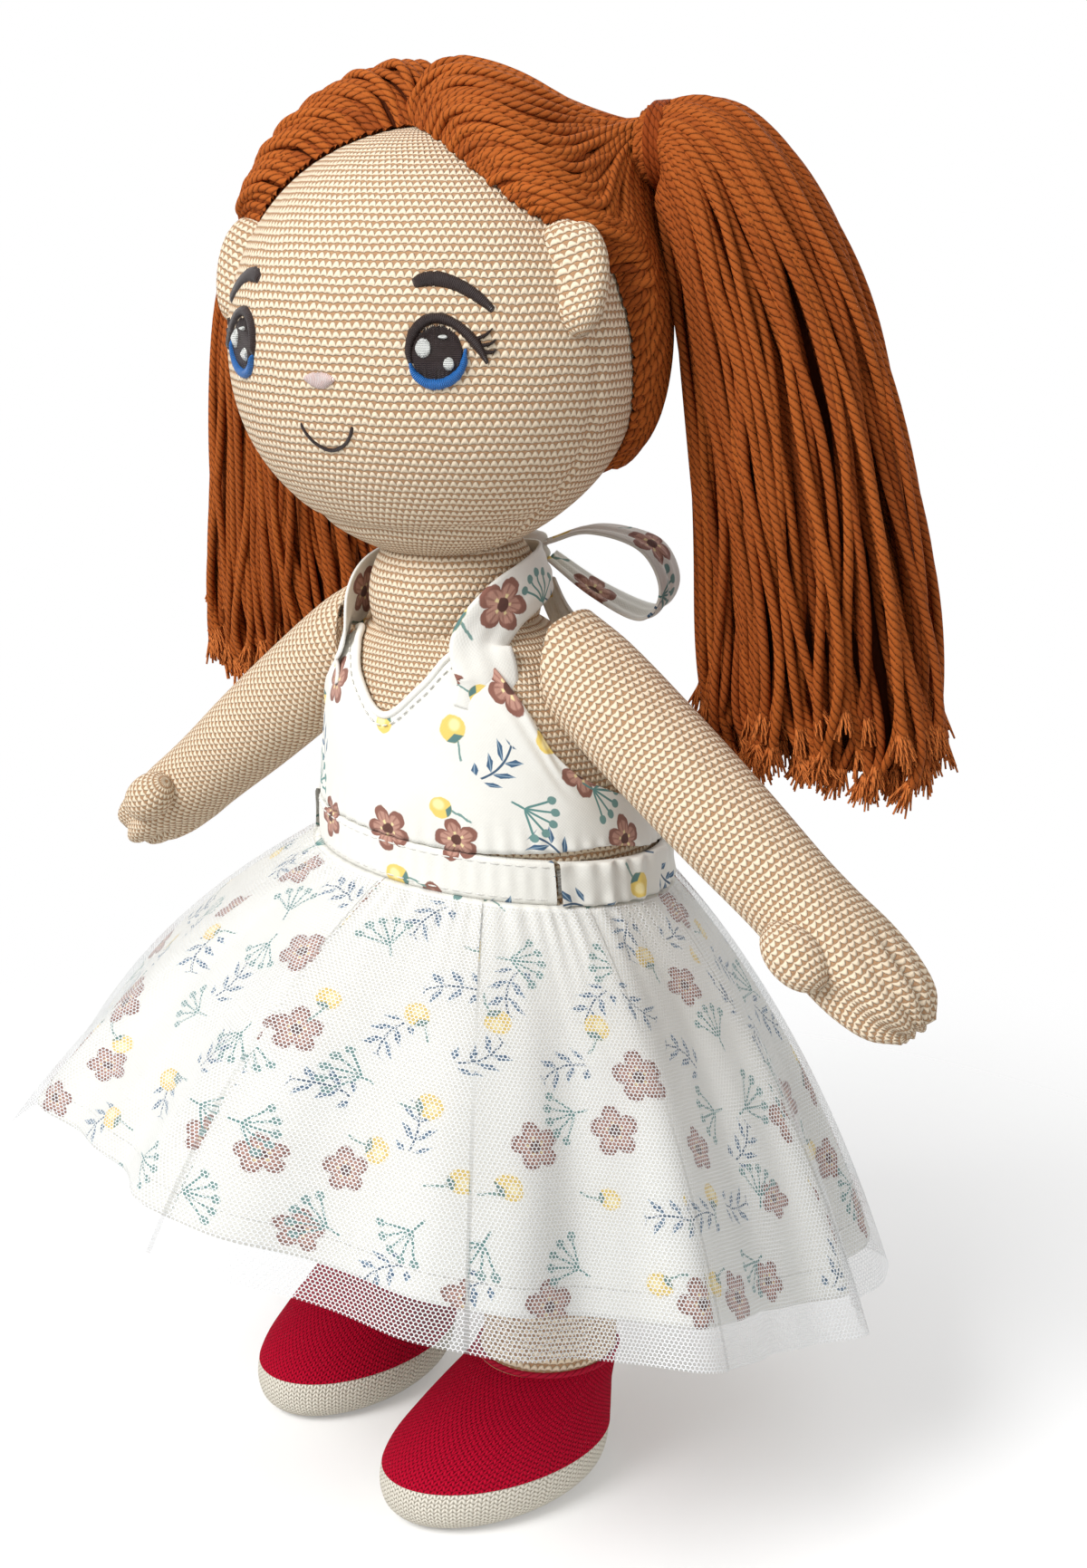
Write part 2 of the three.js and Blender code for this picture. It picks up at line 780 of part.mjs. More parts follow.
function armForm(side, standoff) {
  const along = new THREE.Vector3(side * Math.cos(armSlope), 0, -Math.sin(armSlope));
  const widthAxis = new THREE.Vector3(0, 1, 0);
  const thickAxis = along.clone().cross(widthAxis).normalize();
  const shoulder = new THREE.Vector3(standX + side * shoulderX, standY, shoulderLevel);
  const rings = armShares.map(([share, width, thickness]) => {
    const length = share * (armLength + armRootLength) + standoff * (2 * share - 1);
    const middle = shoulder.clone().addScaledVector(along, length - armRootLength);
    middle.y += share * armSetBack;
    return ellipseRing(
      middle,
      widthAxis.clone().multiplyScalar(armHalfWidth * width + standoff),
      thickAxis.clone().multiplyScalar(armHalfThickness * thickness + standoff),
      limbSteps,
    );
  });
  const thumbReach = thumbShare * armLength;
  const thumbPlace = shoulder.clone().addScaledVector(along, thumbReach);
  thumbPlace.y -= armHalfWidth;
  const thumbAxes = [
    new THREE.Vector3(0, -(thumbHalfThickness + standoff), 0),
    thickAxis.clone().multiplyScalar(thumbHalfThickness + standoff),
    along.clone().multiplyScalar(thumbHalfLength + standoff),
  ];
  return loft(rings).add(ellipsoid(thumbPlace, thumbAxes, smallSteps));
}

function buildArms() {
  for (const [name, side] of [['left', 1], ['right', -1]]) {
    const seamX = standX + side * armSeamX;
    const far = standX - side * cutOverrun;
    const low = new THREE.Vector3(Math.min(seamX, far), -cutOverrun, -cutOverrun);
    const high = new THREE.Vector3(Math.max(seamX, far), cutOverrun, 2 * cutOverrun);
    const inside = block(low, high);
    const skin = armForm(side, 0).subtract(armForm(side, -knitWall));
    addPiece(`arm_skin_${name}`, skin.subtract(inside), knit);
    const filling = armForm(side, -knitWall - seatGap).subtract(inside);
    addPiece(`arm_filling_${name}`, filling, stuffing);
  }
}

// Legs

function hipOf(side) {
  return new THREE.Vector3(standX + side * hipX, standY + legSetBack, hipLevel);
}

function ankleOf(foot) {
  return new THREE.Vector3(standX + foot.x, standY + foot.y, ankleLevel);
}

function legForm(side, foot, standoff) {
  const forward = new THREE.Vector3(Math.sin(foot.toeIn), -Math.cos(foot.toeIn), 0);
  const sideways = new THREE.Vector3(-forward.y, forward.x, 0);
  const hip = hipOf(side);
  const ankle = ankleOf(foot);
  const rings = footShares.map(([height, place, length, width]) => {
    const middle = ankle.clone().addScaledVector(forward, footForward * place);
    middle.z = ankleLevel * height - standoff * (1 - height);
    return ellipseRing(
      middle,
      sideways.clone().multiplyScalar(footHalfWidth * width + standoff),
      forward.clone().multiplyScalar(footHalfLength * length + standoff),
      limbSteps,
    );
  });
  for (let k = 0; k <= tubeRows; k += 1) {
    const t = k / tubeRows;
    const radius = THREE.MathUtils.lerp(ankleRadius, hipRadius, t) + standoff;
    const middle = ankle.clone().lerp(hip, t);
    rings.push(ellipseRing(
      middle,
      sideways.clone().multiplyScalar(radius),
      forward.clone().multiplyScalar(radius),
      limbSteps,
    ));
  }
  for (let k = 1; k < capRows; k += 1) {
    const tilt = (Math.PI * k) / (2 * capRows);
    const radius = (hipRadius + standoff) * Math.cos(tilt);
    const middle = hip.clone();
    middle.z += (hipRadius + standoff) * Math.sin(tilt);
    rings.push(ellipseRing(
      middle,
      sideways.clone().multiplyScalar(radius),
      forward.clone().multiplyScalar(radius),
      limbSteps,
    ));
  }
  return loft(rings);
}

function slab(from, to) {
  return block(
    new THREE.Vector3(-cutOverrun, -cutOverrun, from),
    new THREE.Vector3(cutOverrun, cutOverrun, to),
  );
}

const legs = [
  ['left', 1, leftFoot],
  ['right', -1, rightFoot],
];

function buildLegs() {
  for (const [name, side, foot] of legs) {
    const outer = legForm(side, foot, 0);
    const shell = outer.subtract(legForm(side, foot, -knitWall));
    const soleTop = slab(soleSeamLevel - seatGap / 2, cutOverrun);
    addPiece(`shoe_sole_${name}`, shell.subtract(soleTop), cream);
    const upper = slab(soleSeamLevel + seatGap / 2, cuffLevel - seatGap / 2);
    addPiece(`shoe_upper_${name}`, shell.intersect(upper), crimson);
    const hipOpening = slab(hipLevel + hipRadius / 2, cutOverrun);
    const tube = shell.intersect(slab(cuffLevel + seatGap / 2, cutOverrun));
    addPiece(`leg_skin_${name}`, tube.subtract(hipOpening), knit);
    const filling = legForm(side, foot, -knitWall - seatGap);
    addPiece(`leg_filling_${name}`, filling, stuffing);
  }
}

// The room that both thighs need as they swing at the hips
function legRoom() {
  const parts = [];
  const axis = new THREE.Vector3(1, 0, 0);
  for (const [, side, foot] of legs) {
    const hip = hipOf(side);
    const ankle = ankleOf(foot);
    const radius = (hipRadius + sweepGap) / Math.cos(Math.PI / swingSteps);
    parts.push(ball(hip, radius, swingSteps));
    const tube = loft([ankle, hip].map((middle) => ellipseRing(
      middle,
      new THREE.Vector3(radius, 0, 0),
      new THREE.Vector3(0, radius, 0),
      swingSteps,
    )));
    for (const angle of [-hipSwingForward, -hipSwingForward / 2, 0, hipSwingBack]) {
      parts.push(turned(tube, hip, axis, angle));
    }
  }
  return parts.reduce((whole, part) => whole.add(part));
}

// The room that an arm's root needs as it turns against its seat on the torso
function armRoom(side) {
  const seatX = armSeamX - seatGap;
  const endX = torsoHalfWidth + armHalfThickness;
  const rootRadius = armHalfThickness / Math.cos(armSlope) + sweepGap;
  const rings = [seatX, endX].map((x) => {
    const radius = rootRadius + (x - seatX) * Math.tan(armSlope);
    const middle = new THREE.Vector3(standX + side * x, standY, shoulderLevel);
    const [along, across] = [new THREE.Vector3(0, radius, 0), new THREE.Vector3(0, 0, radius)];
    return ellipseRing(middle, along, across, roundSteps);
  });
  return loft(rings);
}

function buildTorso() {
  const room = legRoom().add(armRoom(1)).add(armRoom(-1));
  const socketRadius = (neckRadius + seatGap) / Math.cos(Math.PI / fineSteps) ** 2;
  const socket = ball(neckMiddle, socketRadius, fineSteps);
  const shell = torsoForm(0, fineSteps).subtract(torsoForm(-knitWall, roundSteps));
  addPiece('torso_skin', shell.subtract(room).subtract(socket), knit);
  const core = torsoForm(-knitWall - seatGap, roundSteps);
  addPiece('torso_filling', core.subtract(room).subtract(socket), stuffing);
}

// Dress

function waistShift(azimuth) {
  return waistRiseHeight * Math.cos(azimuth - raisedWaistAzimuth);
}

// Cloth that lies round the torso, between two azimuths, with its own edges
function wrap(from, to, steps, rows, edges, standoff, wall) {
  const closed = to - from === 2 * Math.PI;
  const sections = [];
  const last = closed ? steps - 1 : steps;
  for (let k = 0; k <= last; k += 1) {
    const azimuth = from + ((to - from) * k) / steps;
    const [low, high] = edges(azimuth);
    const section = [];
    for (let row = 0; row <= rows; row += 1) {
      const level = THREE.MathUtils.lerp(low, high, row / rows);
      section.push(torsoPoint(azimuth, level, standoff + wall));
    }
    for (let row = rows; row >= 0; row -= 1) {
      const level = THREE.MathUtils.lerp(low, high, row / rows);
      section.push(torsoPoint(azimuth, level, standoff));
    }
    sections.push(section);
  }
  return sweep(sections, closed);
}

const bodiceRange = neckLevel - waistLevel;

function bodiceEdges(azimuth) {
  const [, high, low] = readTable(bodiceShares, azimuth / (2 * Math.PI));
  const bandTop = bandHeight / 2 + waistShift(azimuth) + seatGap;
  const bottom = Math.max(waistLevel + low * bodiceRange, waistLevel + bandTop);
  return [bottom, waistLevel + high * bodiceRange];
}

function buildBodice() {
  const half = Math.PI;
  const body = wrap(-half, half, bodiceSteps, bodiceRows, bodiceEdges, bodiceStandoff, cottonWall);
  addPiece('bodice', body.subtract(torsoClear), cotton);
  const [from, to] = [pipingFrom, pipingTo].map((k) => (k * 2 * Math.PI) / bodiceSteps);
  const edges = (azimuth) => {
    const [, top] = bodiceEdges(azimuth);
    return [top + seatGap, top + seatGap + pipingHeight];
  };
  const piping = wrap(from, to, pipingTo - pipingFrom, 1, edges, bodiceStandoff, pipingWall);
  addPiece('neckline_piping', piping.subtract(torsoClear), cotton);
  const bandEdges = (azimuth) => {
    const middle = waistLevel + waistShift(azimuth);
    return [middle - bandHeight / 2, middle + bandHeight / 2];
  };
  const front = frontBandHalfAngle;
  const end = seatGap / torsoHalfWidth;
  const band = wrap(-front, front, bandSteps, bandRows, bandEdges, bandStandoff, bandWall);
  addPiece('waistband_front', band, cotton);
  const elasticEdges = (azimuth) => {
    const middle = waistLevel + waistShift(azimuth);
    return [middle - elasticHeight / 2, middle + elasticHeight / 2];
  };
  const [start, stop] = [front + end, 2 * Math.PI - front - end];
  const strip = wrap(start, stop, bandSteps, bandRows, elasticEdges, bandStandoff, elasticWall);
  addPiece('waist_elastic', strip, elastic);
  const inset = bandStandoff + elasticWall + seatGap;
  const casing = wrap(start, stop, bandSteps, bandRows, bandEdges, inset, casingWall - elasticWall);
  addPiece('waist_casing_back', casing, cotton);
}

// Ribbon along a route with its flat side facing away from a middle
function ribbon(route, middle, width, wall) {
  const curve = new THREE.CatmullRomCurve3(route);
  const steps = 2 * (route.length - 1);
  const sections = [];
  for (let k = 0; k <= steps; k += 1) {
    const point = curve.getPoint(k / steps);
    const along = curve.getTangent(k / steps);
    const outward = point.clone().sub(middle);
    outward.addScaledVector(along, -outward.dot(along)).normalize();
    const across = along.clone().cross(outward).multiplyScalar(width / 2);
    outward.multiplyScalar(wall);
    sections.push([
      point.clone().sub(across),
      point.clone().add(across),
      point.clone().add(across).add(outward),
      point.clone().sub(across).add(outward),
    ]);
  }
  return sweep(sections, false);
}

// Places along a route of sideways, backward and upward shares from the knot
function knotRoute(knot, side, shares, reach, back, rise) {
  return shares.map(([outShare, backShare, riseShare]) => new THREE.Vector3(
    knot.x + side * outShare * reach,
    knot.y + backShare * back,
    knot.z + riseShare * rise,
  ));
}

function buildStraps() {
  const knot = neckMiddle.clone();
  knot.y += neckRadius + strapStandoff + knotHalfDepth;
  knot.z += knotHeight;
  const knotForm = (standoff) => ellipsoid(
    knot,
    axisTriple(knotHalfWidth + standoff, knotHalfDepth + standoff, knotHalfHeight + standoff),
    smallSteps,
  );
  const knotClear = knotForm(seatGap);
  addPiece('halter_knot', knotForm(0), cotton);
  for (const [name, side] of [['left', 1], ['right', -1]]) {
    const strapPath = strapShares.map(([turn, rise, out]) => {
      const azimuth = side * turn * 2 * Math.PI;
      return new THREE.Vector3(
        neckMiddle.x + out * neckRadius * Math.sin(azimuth),
        neckMiddle.y - out * neckRadius * Math.cos(azimuth),
        neckMiddle.z + rise * neckRadius,
      );
    });
    const strap = ribbon(strapPath, neckMiddle, strapWidth, cottonWall);
    addPiece(`halter_strap_${name}`, strap.subtract(knotClear).subtract(torsoClear), cotton);
    const loopPath = knotRoute(knot, side, bowLoopShares, bowLoopReach, bowLoopBack, bowLoopHeight);
    const loopMiddle = new THREE.Vector3();
    loopPath.forEach((place) => loopMiddle.addScaledVector(place, 1 / loopPath.length));
    const loop = ribbon(loopPath, loopMiddle, bowLoopWidth, cottonWall);
    addPiece(`bow_loop_${name}`, loop.subtract(knotClear), cotton);
    const tailPath = knotRoute(knot, side, bowTailShares, bowTailReach, bowTailBack, -bowTailDrop);
    const bowTail = ribbon(tailPath, neckMiddle, bowTailWidth, cottonWall);
    addPiece(`bow_tail_${name}`, bowTail.subtract(knotClear), cotton);
  }
}

function skirtPoint(azimuth, t, standoff) {
  const waist = waistLevel + waistShift(azimuth) - bandHeight / 2 - seatGap;
  const top = torsoPoint(azimuth, waist, bandStandoff + cottonWall / 2);
  const middleY = standY + bellySetBack;
  const heading = Math.atan2(top.x - standX, middleY - top.y);
  const reach = hemReach + hemReachLean * Math.cos(heading - widestHemAzimuth);
  const level = hemLevel + hemRiseHeight * Math.cos(heading - raisedHemAzimuth);
  const fold = foldDepth * t * Math.cos(foldCount * azimuth);
  const out = Math.hypot(top.x - standX, top.y - middleY);
  const spread = t * (1 + domeShare * (1 - t));
  const fall = t * (1 - droopShare * (1 - t));
  const radius = out + (reach - out) * spread + fold + standoff;
  return new THREE.Vector3(
    standX + radius * Math.sin(heading),
    middleY - radius * Math.cos(heading),
    waist + (level - waist) * fall + fold * t * foldRiseShare,
  );
}

function skirtForm(length, standoff, wall) {
  const sections = [];
  for (let k = 0; k < skirtSteps; k += 1) {
    const azimuth = (2 * Math.PI * k) / skirtSteps;
    const section = [];
    for (let row = 0; row <= skirtRows; row += 1) {
      section.push(skirtPoint(azimuth, (length * row) / skirtRows, standoff + wall));
    }
    for (let row = skirtRows; row >= 0; row -= 1) {
      section.push(skirtPoint(azimuth, (length * row) / skirtRows, standoff));
    }
    sections.push(section);
  }
  return sweep(sections, true);
}

buildTorso();
buildNeck();
buildHead();
buildEars();
buildFace();
buildHair();
buildArms();
buildLegs();
buildBodice();
buildStraps();
addPiece('cotton_skirt', skirtForm(cottonShare, 0, cottonWall), cotton);
addPiece('tulle_skirt', skirtForm(1, cottonWall + layerGap, tulleWall), tulle);

export default doll;
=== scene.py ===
import math

import bpy
import mathutils
import numpy as np
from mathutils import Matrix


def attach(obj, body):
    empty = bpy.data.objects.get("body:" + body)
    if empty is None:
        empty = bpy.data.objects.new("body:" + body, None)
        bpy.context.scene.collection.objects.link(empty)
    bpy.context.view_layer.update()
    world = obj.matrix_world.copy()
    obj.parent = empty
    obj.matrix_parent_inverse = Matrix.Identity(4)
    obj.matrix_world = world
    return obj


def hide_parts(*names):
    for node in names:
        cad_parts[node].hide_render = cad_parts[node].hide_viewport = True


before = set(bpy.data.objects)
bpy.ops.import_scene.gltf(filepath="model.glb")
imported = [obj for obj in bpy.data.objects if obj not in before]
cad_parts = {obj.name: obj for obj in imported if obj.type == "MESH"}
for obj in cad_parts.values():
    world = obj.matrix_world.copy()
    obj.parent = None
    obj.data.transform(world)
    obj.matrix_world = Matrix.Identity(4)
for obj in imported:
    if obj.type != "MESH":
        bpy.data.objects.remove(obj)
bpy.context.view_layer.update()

# A knitted doll in a printed halter dress with a tulle overskirt. Lengths are in millimetres
# until a mesh is made, +Z is up, the face looks towards -Y and the doll's left is at +X.

MM = 0.001
SIDES = (('left', 1), ('right', -1))
FULL_TURN = 2 * math.pi
random = np.random.default_rng(7)

# Stance and levels
STAND_X = 0
STAND_Y = -3
ANKLE_LEVEL = 38
HIP_LEVEL = 118
WAIST_LEVEL = 167
SHOULDER_LEVEL = 215
NECK_LEVEL = 232
HEAD_LEVEL = 293

# Torso
TORSO_HALF_WIDTH = 46
TORSO_HALF_DEPTH = 39
TORSO_BOTTOM = 113
TORSO_TOP = 229
TORSO_GIRTH = 260
TORSO_ROUND = 43
BELLY_SET_BACK = 10
CHEST_SET_FORWARD = 3
TORSO_SHARES = np.array([
    [0, 0.34, 0.34, 0], [0.03, 0.58, 0.56, 0], [0.09, 0.79, 0.77, 0], [0.18, 0.92, 0.91, 0],
    [0.31, 1, 0.99, 0], [0.45, 1, 1, 0.04], [0.58, 0.965, 0.965, 0.18], [0.71, 0.9, 0.89, 0.42],
    [0.82, 0.825, 0.79, 0.66], [0.905, 0.69, 0.66, 0.85], [0.965, 0.51, 0.52, 0.95],
    [1, 0.3, 0.32, 1]])

# Neck and head
NECK_RADIUS = 22
NECK_GIRTH = 140
SEAT_GAP = 0.3
NECK_SET_FORWARD = 4
NECK_MIDDLE = np.array([STAND_X, STAND_Y - NECK_SET_FORWARD, NECK_LEVEL])
HEAD_HALVES = np.array([54, 41.5, 51])
HEAD_SET_FORWARD = 12
HEAD_MIDDLE = np.array([STAND_X, STAND_Y - HEAD_SET_FORWARD, HEAD_LEVEL])
HEAD_TURN = math.radians(4)
HEAD_GIRTH = 308
HEAD_ROUND = 47
CHIN_CREASE = math.radians(-47)
CREASE_DROP = 0.16
CREASE_SPREAD = 0.05
CREASE_ENDS = (1.7, 1.2)
CREASE_DEPTH = 1.1
HEAD_SEAM = math.radians(80)
HEAD_SEAM_SPREAD = 0.03
HEAD_SEAM_ENDS = (math.radians(30), math.radians(5))
HEAD_SEAM_DEPTH = 0.8
HEAD_SHAPE_SHARES = np.array([
    [-0.25, 0.86], [-0.17, 0.93], [-0.09, 1], [0, 1], [0.12, 1], [0.25, 1]])
EAR_HALVES = np.array([9.5, 5, 13.5])
EAR_LONGITUDE = math.radians(73)
EAR_LATITUDE = math.radians(20)
EAR_FLARE = math.radians(28)
EAR_TAPER_SHARE = 0.22
EAR_DISH_SHARE = 0.3
EAR_GIRTH = 46

# Arms
SHOULDER_X = 39
ARM_LENGTH = 115
ARM_ROOT = 12
ARM_SLOPE = math.radians(37)
ARM_HALF_WIDTH = 13.6
ARM_HALF_THICKNESS = 13.2
ARM_SET_BACK = 3
ARM_SEAT = 34
ARM_GIRTH = 84
PALM_SHARES = (0.8, 0.9)
FINGER_LENGTH = 1.6
FINGER_GROOVE_SHARE = 0.2
ARM_SEAM_AT = 1.9
ARM_SEAM_SPREAD = 0.11
ARM_SEAM_DEPTH_SHARE = 0.03
ARM_SHARES = np.array([
    [0, 0.86, 0.86], [0.1, 0.98, 0.98], [0.3, 1, 1], [0.5, 0.97, 0.96], [0.66, 0.93, 0.88],
    [0.74, 1.02, 0.84], [0.83, 1.2, 0.8], [0.9, 1.16, 0.72], [0.96, 0.95, 0.56], [1, 0.52, 0.26]])
THUMB_HALVES = np.array([6.3, 6.3, 9.5])
THUMB_SHARE = 0.76
THUMB_GIRTH = 40

# Legs and feet
HIP_X = 21
HIP_RADIUS = 19.5
ANKLE_RADIUS = 17.4
LEG_SET_BACK = 9
FEET = {
    'left': (1, 31.5, -5, math.radians(-14)),
    'right': (-1, -39, 13, math.radians(-1)),
}
FOOT_HALF_LENGTH = 33.5
FOOT_HALF_WIDTH = 22
FOOT_FORWARD = 18
SOLE_LEVEL = 13
CUFF_LEVEL = 35.5
CUFF_RADIUS = 0.8
CUFF_STANDOFF = 0.2
UPPER_STANDOFF = 0.15
UPPER_OVERLAP = 0.2
SOLE_ROUNDING = 0.4
LEG_TUCK = 1
LEG_GIRTH = 112
FOOT_TOP_SHARE = 0.92
ANKLE_BLEND_SHARES = (0.84, 1.08)
FOOT_SHARES = np.array([
    [0, 1.04, 0.77, 0.7], [0.04, 1.04, 0.88, 0.84], [0.13, 1.02, 0.97, 0.955], [0.28, 0.99, 1, 1],
    [0.42, 0.9, 0.965, 0.975], [0.55, 0.72, 0.875, 0.93], [0.68, 0.5, 0.76, 0.885],
    [0.8, 0.26, 0.65, 0.845], [0.92, 0.07, 0.555, 0.81]])

# Dress
BAND_HEIGHT = 11
BAND_WALL = 2
BAND_STANDOFF = 0.4
BAND_STITCH_INSET = 1.3
BAND_STITCH_LIFT = 2.42
SIDE_SEAM = 0.02
CASING_STANDOFF = 1.3
CASING_WALL = 2
ELASTIC_HALF_HEIGHT = 3
ELASTIC_STANDOFF = 0.4
ELASTIC_WALL = 0.8
BODICE_STANDOFF = 0.5
COTTON_WALL = 1.1
WAIST_TILT = 4
RAISED_WAIST = math.radians(-51)
BAND_HALF_ANGLE = math.radians(56)
BODICE_HALF_SHARES = np.array([
    [0, 0.58, 0.1], [0.045, 0.7, 0.1], [0.08, 0.81, 0.1], [0.125, 0.85, 0.1], [0.155, 0.68, 0.1],
    [0.178, 0.47, 0.1], [0.215, 0.34, 0.1], [0.28, 0.25, 0.05], [0.5, 0.25, 0.03]])
BODICE_SHARES = np.concatenate([BODICE_HALF_SHARES[:0:-1] * (-1, 1, 1), BODICE_HALF_SHARES])
SEWN_GAP = 0.3
NECKLINE_SHARES = (-0.125, 0.125)
ARMHOLE_SHARE = 0.158
PIPING_RISE = 0.8
PIPING_STANDOFF = 1.6
PIPING_RADIUS = 0.95
NECK_STITCH_DROP = 1.6
NECK_STITCH_LIFT = 2.35
STITCH_LENGTH = 2.2
STITCH_SPACING = 0.9
SMALL_STITCH_LENGTH = 1.6
SMALL_STITCH_SPACING = 0.8
THREAD_RADIUS = 0.22
HEM_THREAD_RADIUS = 0.2
# Azimuth share, level and standoff of each place where a strap leaves the bodice
STRAP_FOOT = np.array([[0.104, 208, 0.5], [0.124, 215.5, 1.1]])
STRAP_SHARES = np.array([
    [0.15, -0.34, 1.21], [0.19, 0.0, 1.13], [0.25, 0.18, 1.06],
    [0.32, 0.29, 1.03], [0.4, 0.32, 1.03], [0.488, 0.32, 1.03]])
KNOT_HALVES = np.array([6.5, 4.5, 6])
KNOT_HEIGHT = 8
STRAP_STANDOFF = 1.6
KNOT_GIRTH = 36
STRAP_WIDTHS = (12, 15, 15, 14, 13, 12, 11, 9)
STRAP_DROOP = 34
RIBBON_WALL = 0.7
BOW_LOOP_WIDTHS = (7, 11, 14, 14, 14, 11, 7)
BOW_TAIL_WIDTHS = (8, 10, 12, 12)
BOW_LOOP = np.array([37, 12, 20])
BOW_LOOP_SHARES = np.array([
    [0.17, 0.1, 0.1], [0.5, 0.45, 0.3], [0.88, 0.8, 0.14], [1, 1, -0.36], [0.85, 0.95, -0.74],
    [0.5, 0.6, -0.5], [0.17, 0.2, -0.08]])
BOW_TAIL = np.array([15, 17, -40])
BOW_TAIL_SHARES = np.array([[0.4, 0, 0.17], [0.46, 0.3, 0.42], [0.7, 0.65, 0.7], [1, 1, 1]])

# Skirts
HEM_REACH = 110
HEM_REACH_LEAN = 9
HEM_LEVEL = 68
HEM_TILT = 28
RAISED_HEM = math.radians(-30)
WIDEST_HEM = math.radians(-51)
FOLD_COUNT = 11
FOLD_DEPTH = 4.6
COTTON_SHARE = 0.93
DOME_SHARE = 0.25
DROOP_SHARE = 0.3
FOLD_RISE_SHARE = 0.25
PRINT_REACH_SHARE = 0.72
PRINT_STRETCH = 1.05
SKIRT_STANDOFF = 0.4
SKIRT_LIFT = 0.3
SKIRT_WALL = 0.6
TULLE_GAP = 1.9
HEM_STITCH_ROW = -5
HEM_STITCH_LIFT = 0.45

# Hair
HAIR_HALVES = HEAD_HALVES + np.array([4, 4, 10])
HAIR_OFFSET = np.array([0, 2, 4])
TIE = np.array([44, 20, 46])
TIE_RADIUS = 9.4
TAIL_HALVES = (36, 20)
TAIL_REACH = 36
TAILS = {
    'left': (1, 27, 146, np.array([
        [0.1, 0.02, 0, 0.26, 0.47], [0.42, 0.12, 0.01, 0.38, 0.7], [0.7, 0.26, 0.11, 0.5, 0.94],
        [0.92, 0.46, 0.32, 0.7, 1], [1.08, 0.76, 0.66, 0.88, 1], [1.1, 0.94, 0.9, 0.97, 0.98],
        [1.06, 1, 1, 0.92, 0.86]])),
    'right': (-1, 42, 146, np.array([
        [0.1, 0.04, 0.01, 0.26, 0.47], [0.36, 0.2, 0.03, 0.34, 0.62], [0.7, 0.4, 0.13, 0.48, 0.76],
        [1.15, 0.6, 0.32, 0.66, 0.82], [1.42, 0.82, 0.66, 0.84, 0.84], [1.5, 0.94, 0.9, 0.94, 0.82],
        [1.5, 1, 1, 0.88, 0.74]])),
}
YARN_RADIUS = 1.15
TIE_HOLD = 8.6
TIE_BAND_RADIUS = 0.95
TIE_BANDS = (-1.1, 0.3, 1.5)
TIE_KNOT_SHIFT = (4.5, 0.5)
TIE_STEP = 4
TIE_BAND_TONES = (0.2, 0.3, 0.25)
SCALP_CLEAR = 0.5
CAP_STRANDS = 170
CAP_TIE_SPREAD = 6.4
CAP_LAYERS = ((-1.3, 0.2), (0.1, 0.15))
CAP_HOOK = 2.6
CAP_JITTER = 0.8
CAP_TURNS = 2.3
CAP_STRAY = 0.009
CAP_THICKNESS = 1.3
CAP_START_RANGE = 0.08
STRAND_PITCH = 2.1
PAINTED_SHADE_STRANDS = 160
PAINTED_SHADE_LIFT = -2.6
SWEEP_AT = (0, 0.04, 0.16, 0.24, 0.3, 1)
SWEEP_SHARES = (0.1, 0.32, 0.3, 0.1, 0, 0)
# Strands of each layer of a pigtail, their reach from and to, and how bright they start; the inner layers
# start darker as painted shade
TAIL_LAYERS = ((88, 0.9, 1.0, 0.4), (64, 0.68, 0.86, 0.2), (24, 0.2, 0.55, 0.1))
TAIL_STEPS = 64
TAIL_CORE_SHARE = 0.6
TAIL_CORE_GIRTH = 90
FLICK = 5
END_FIBRES = 14
FIBRE_LENGTH = 7
FIBRE_SPREAD = 2.7
FIBRE_START = 2
FIBRE_RADII = np.linspace(0.62, 0.3, 6)
# Edge of the hair on the doll's left: hairline, ear, nape and the middle line up the back
HAIRLINE = (
    (-1, -4.5, 50.6), (12, -11, 47.5), (21, -14.5, 43.5), (30, -15, 38.5), (38, -13, 32), (45, -6, 26),
    (51, 2, 20), (54, 5, 10), (54, 8, -4), (50, 14, -18), (42, 22, -28), (28, 32, -33), (12, 38, -34),
    (-0.5, 39, -33), (-0.5, 46, -10), (-0.5, 46, 14), (-0.5, 38, 38), (-0.5, 20, 58), (-0.5, 4, 63),
    (-0.5, -3, 58))
PLY_TURN = 6.6

# Embroidery, in millimetres sideways and up from its spot on the face
EYE_SPOT = (math.radians(32.3), math.radians(1.8))
IRIS = ((0.1, -0.4), (5.9, 7.1))
LASH_ARCH = ((-5.9, -2.6), (-6.3, 0.8), (-5.2, 4.4), (-2.6, 6.9), (0.4, 7.5), (3.8, 6.5), (7.0, 4.1),
             (9.6, 1.2), (11.8, -2.4))
LASH_WIDTHS = (1.2, 2.0, 2.5, 2.6, 2.5, 2.5, 2.5, 2.3, 0.9)
LASH_TICKS = (((8.9, 3.0), (11.3, 4.0), (13.2, 5.6)), ((10.0, 1.6), (12.3, 2.0), (14.0, 3.0)),
              ((10.9, 0.1), (12.8, 0.2), (14.1, 0.8)))
TICK_WIDTHS = (1.0, 0.9, 0.35)
CRESCENT = ((-6.1, -2.2), (-4.9, -4.9), (-2.4, -6.7), (0.6, -6.9), (3.7, -5.6), (5.9, -2.9), (6.6, 0.9))
CRESCENT_WIDTHS = (0.5, 1.7, 2.3, 2.5, 2.4, 2.0, 0.6)
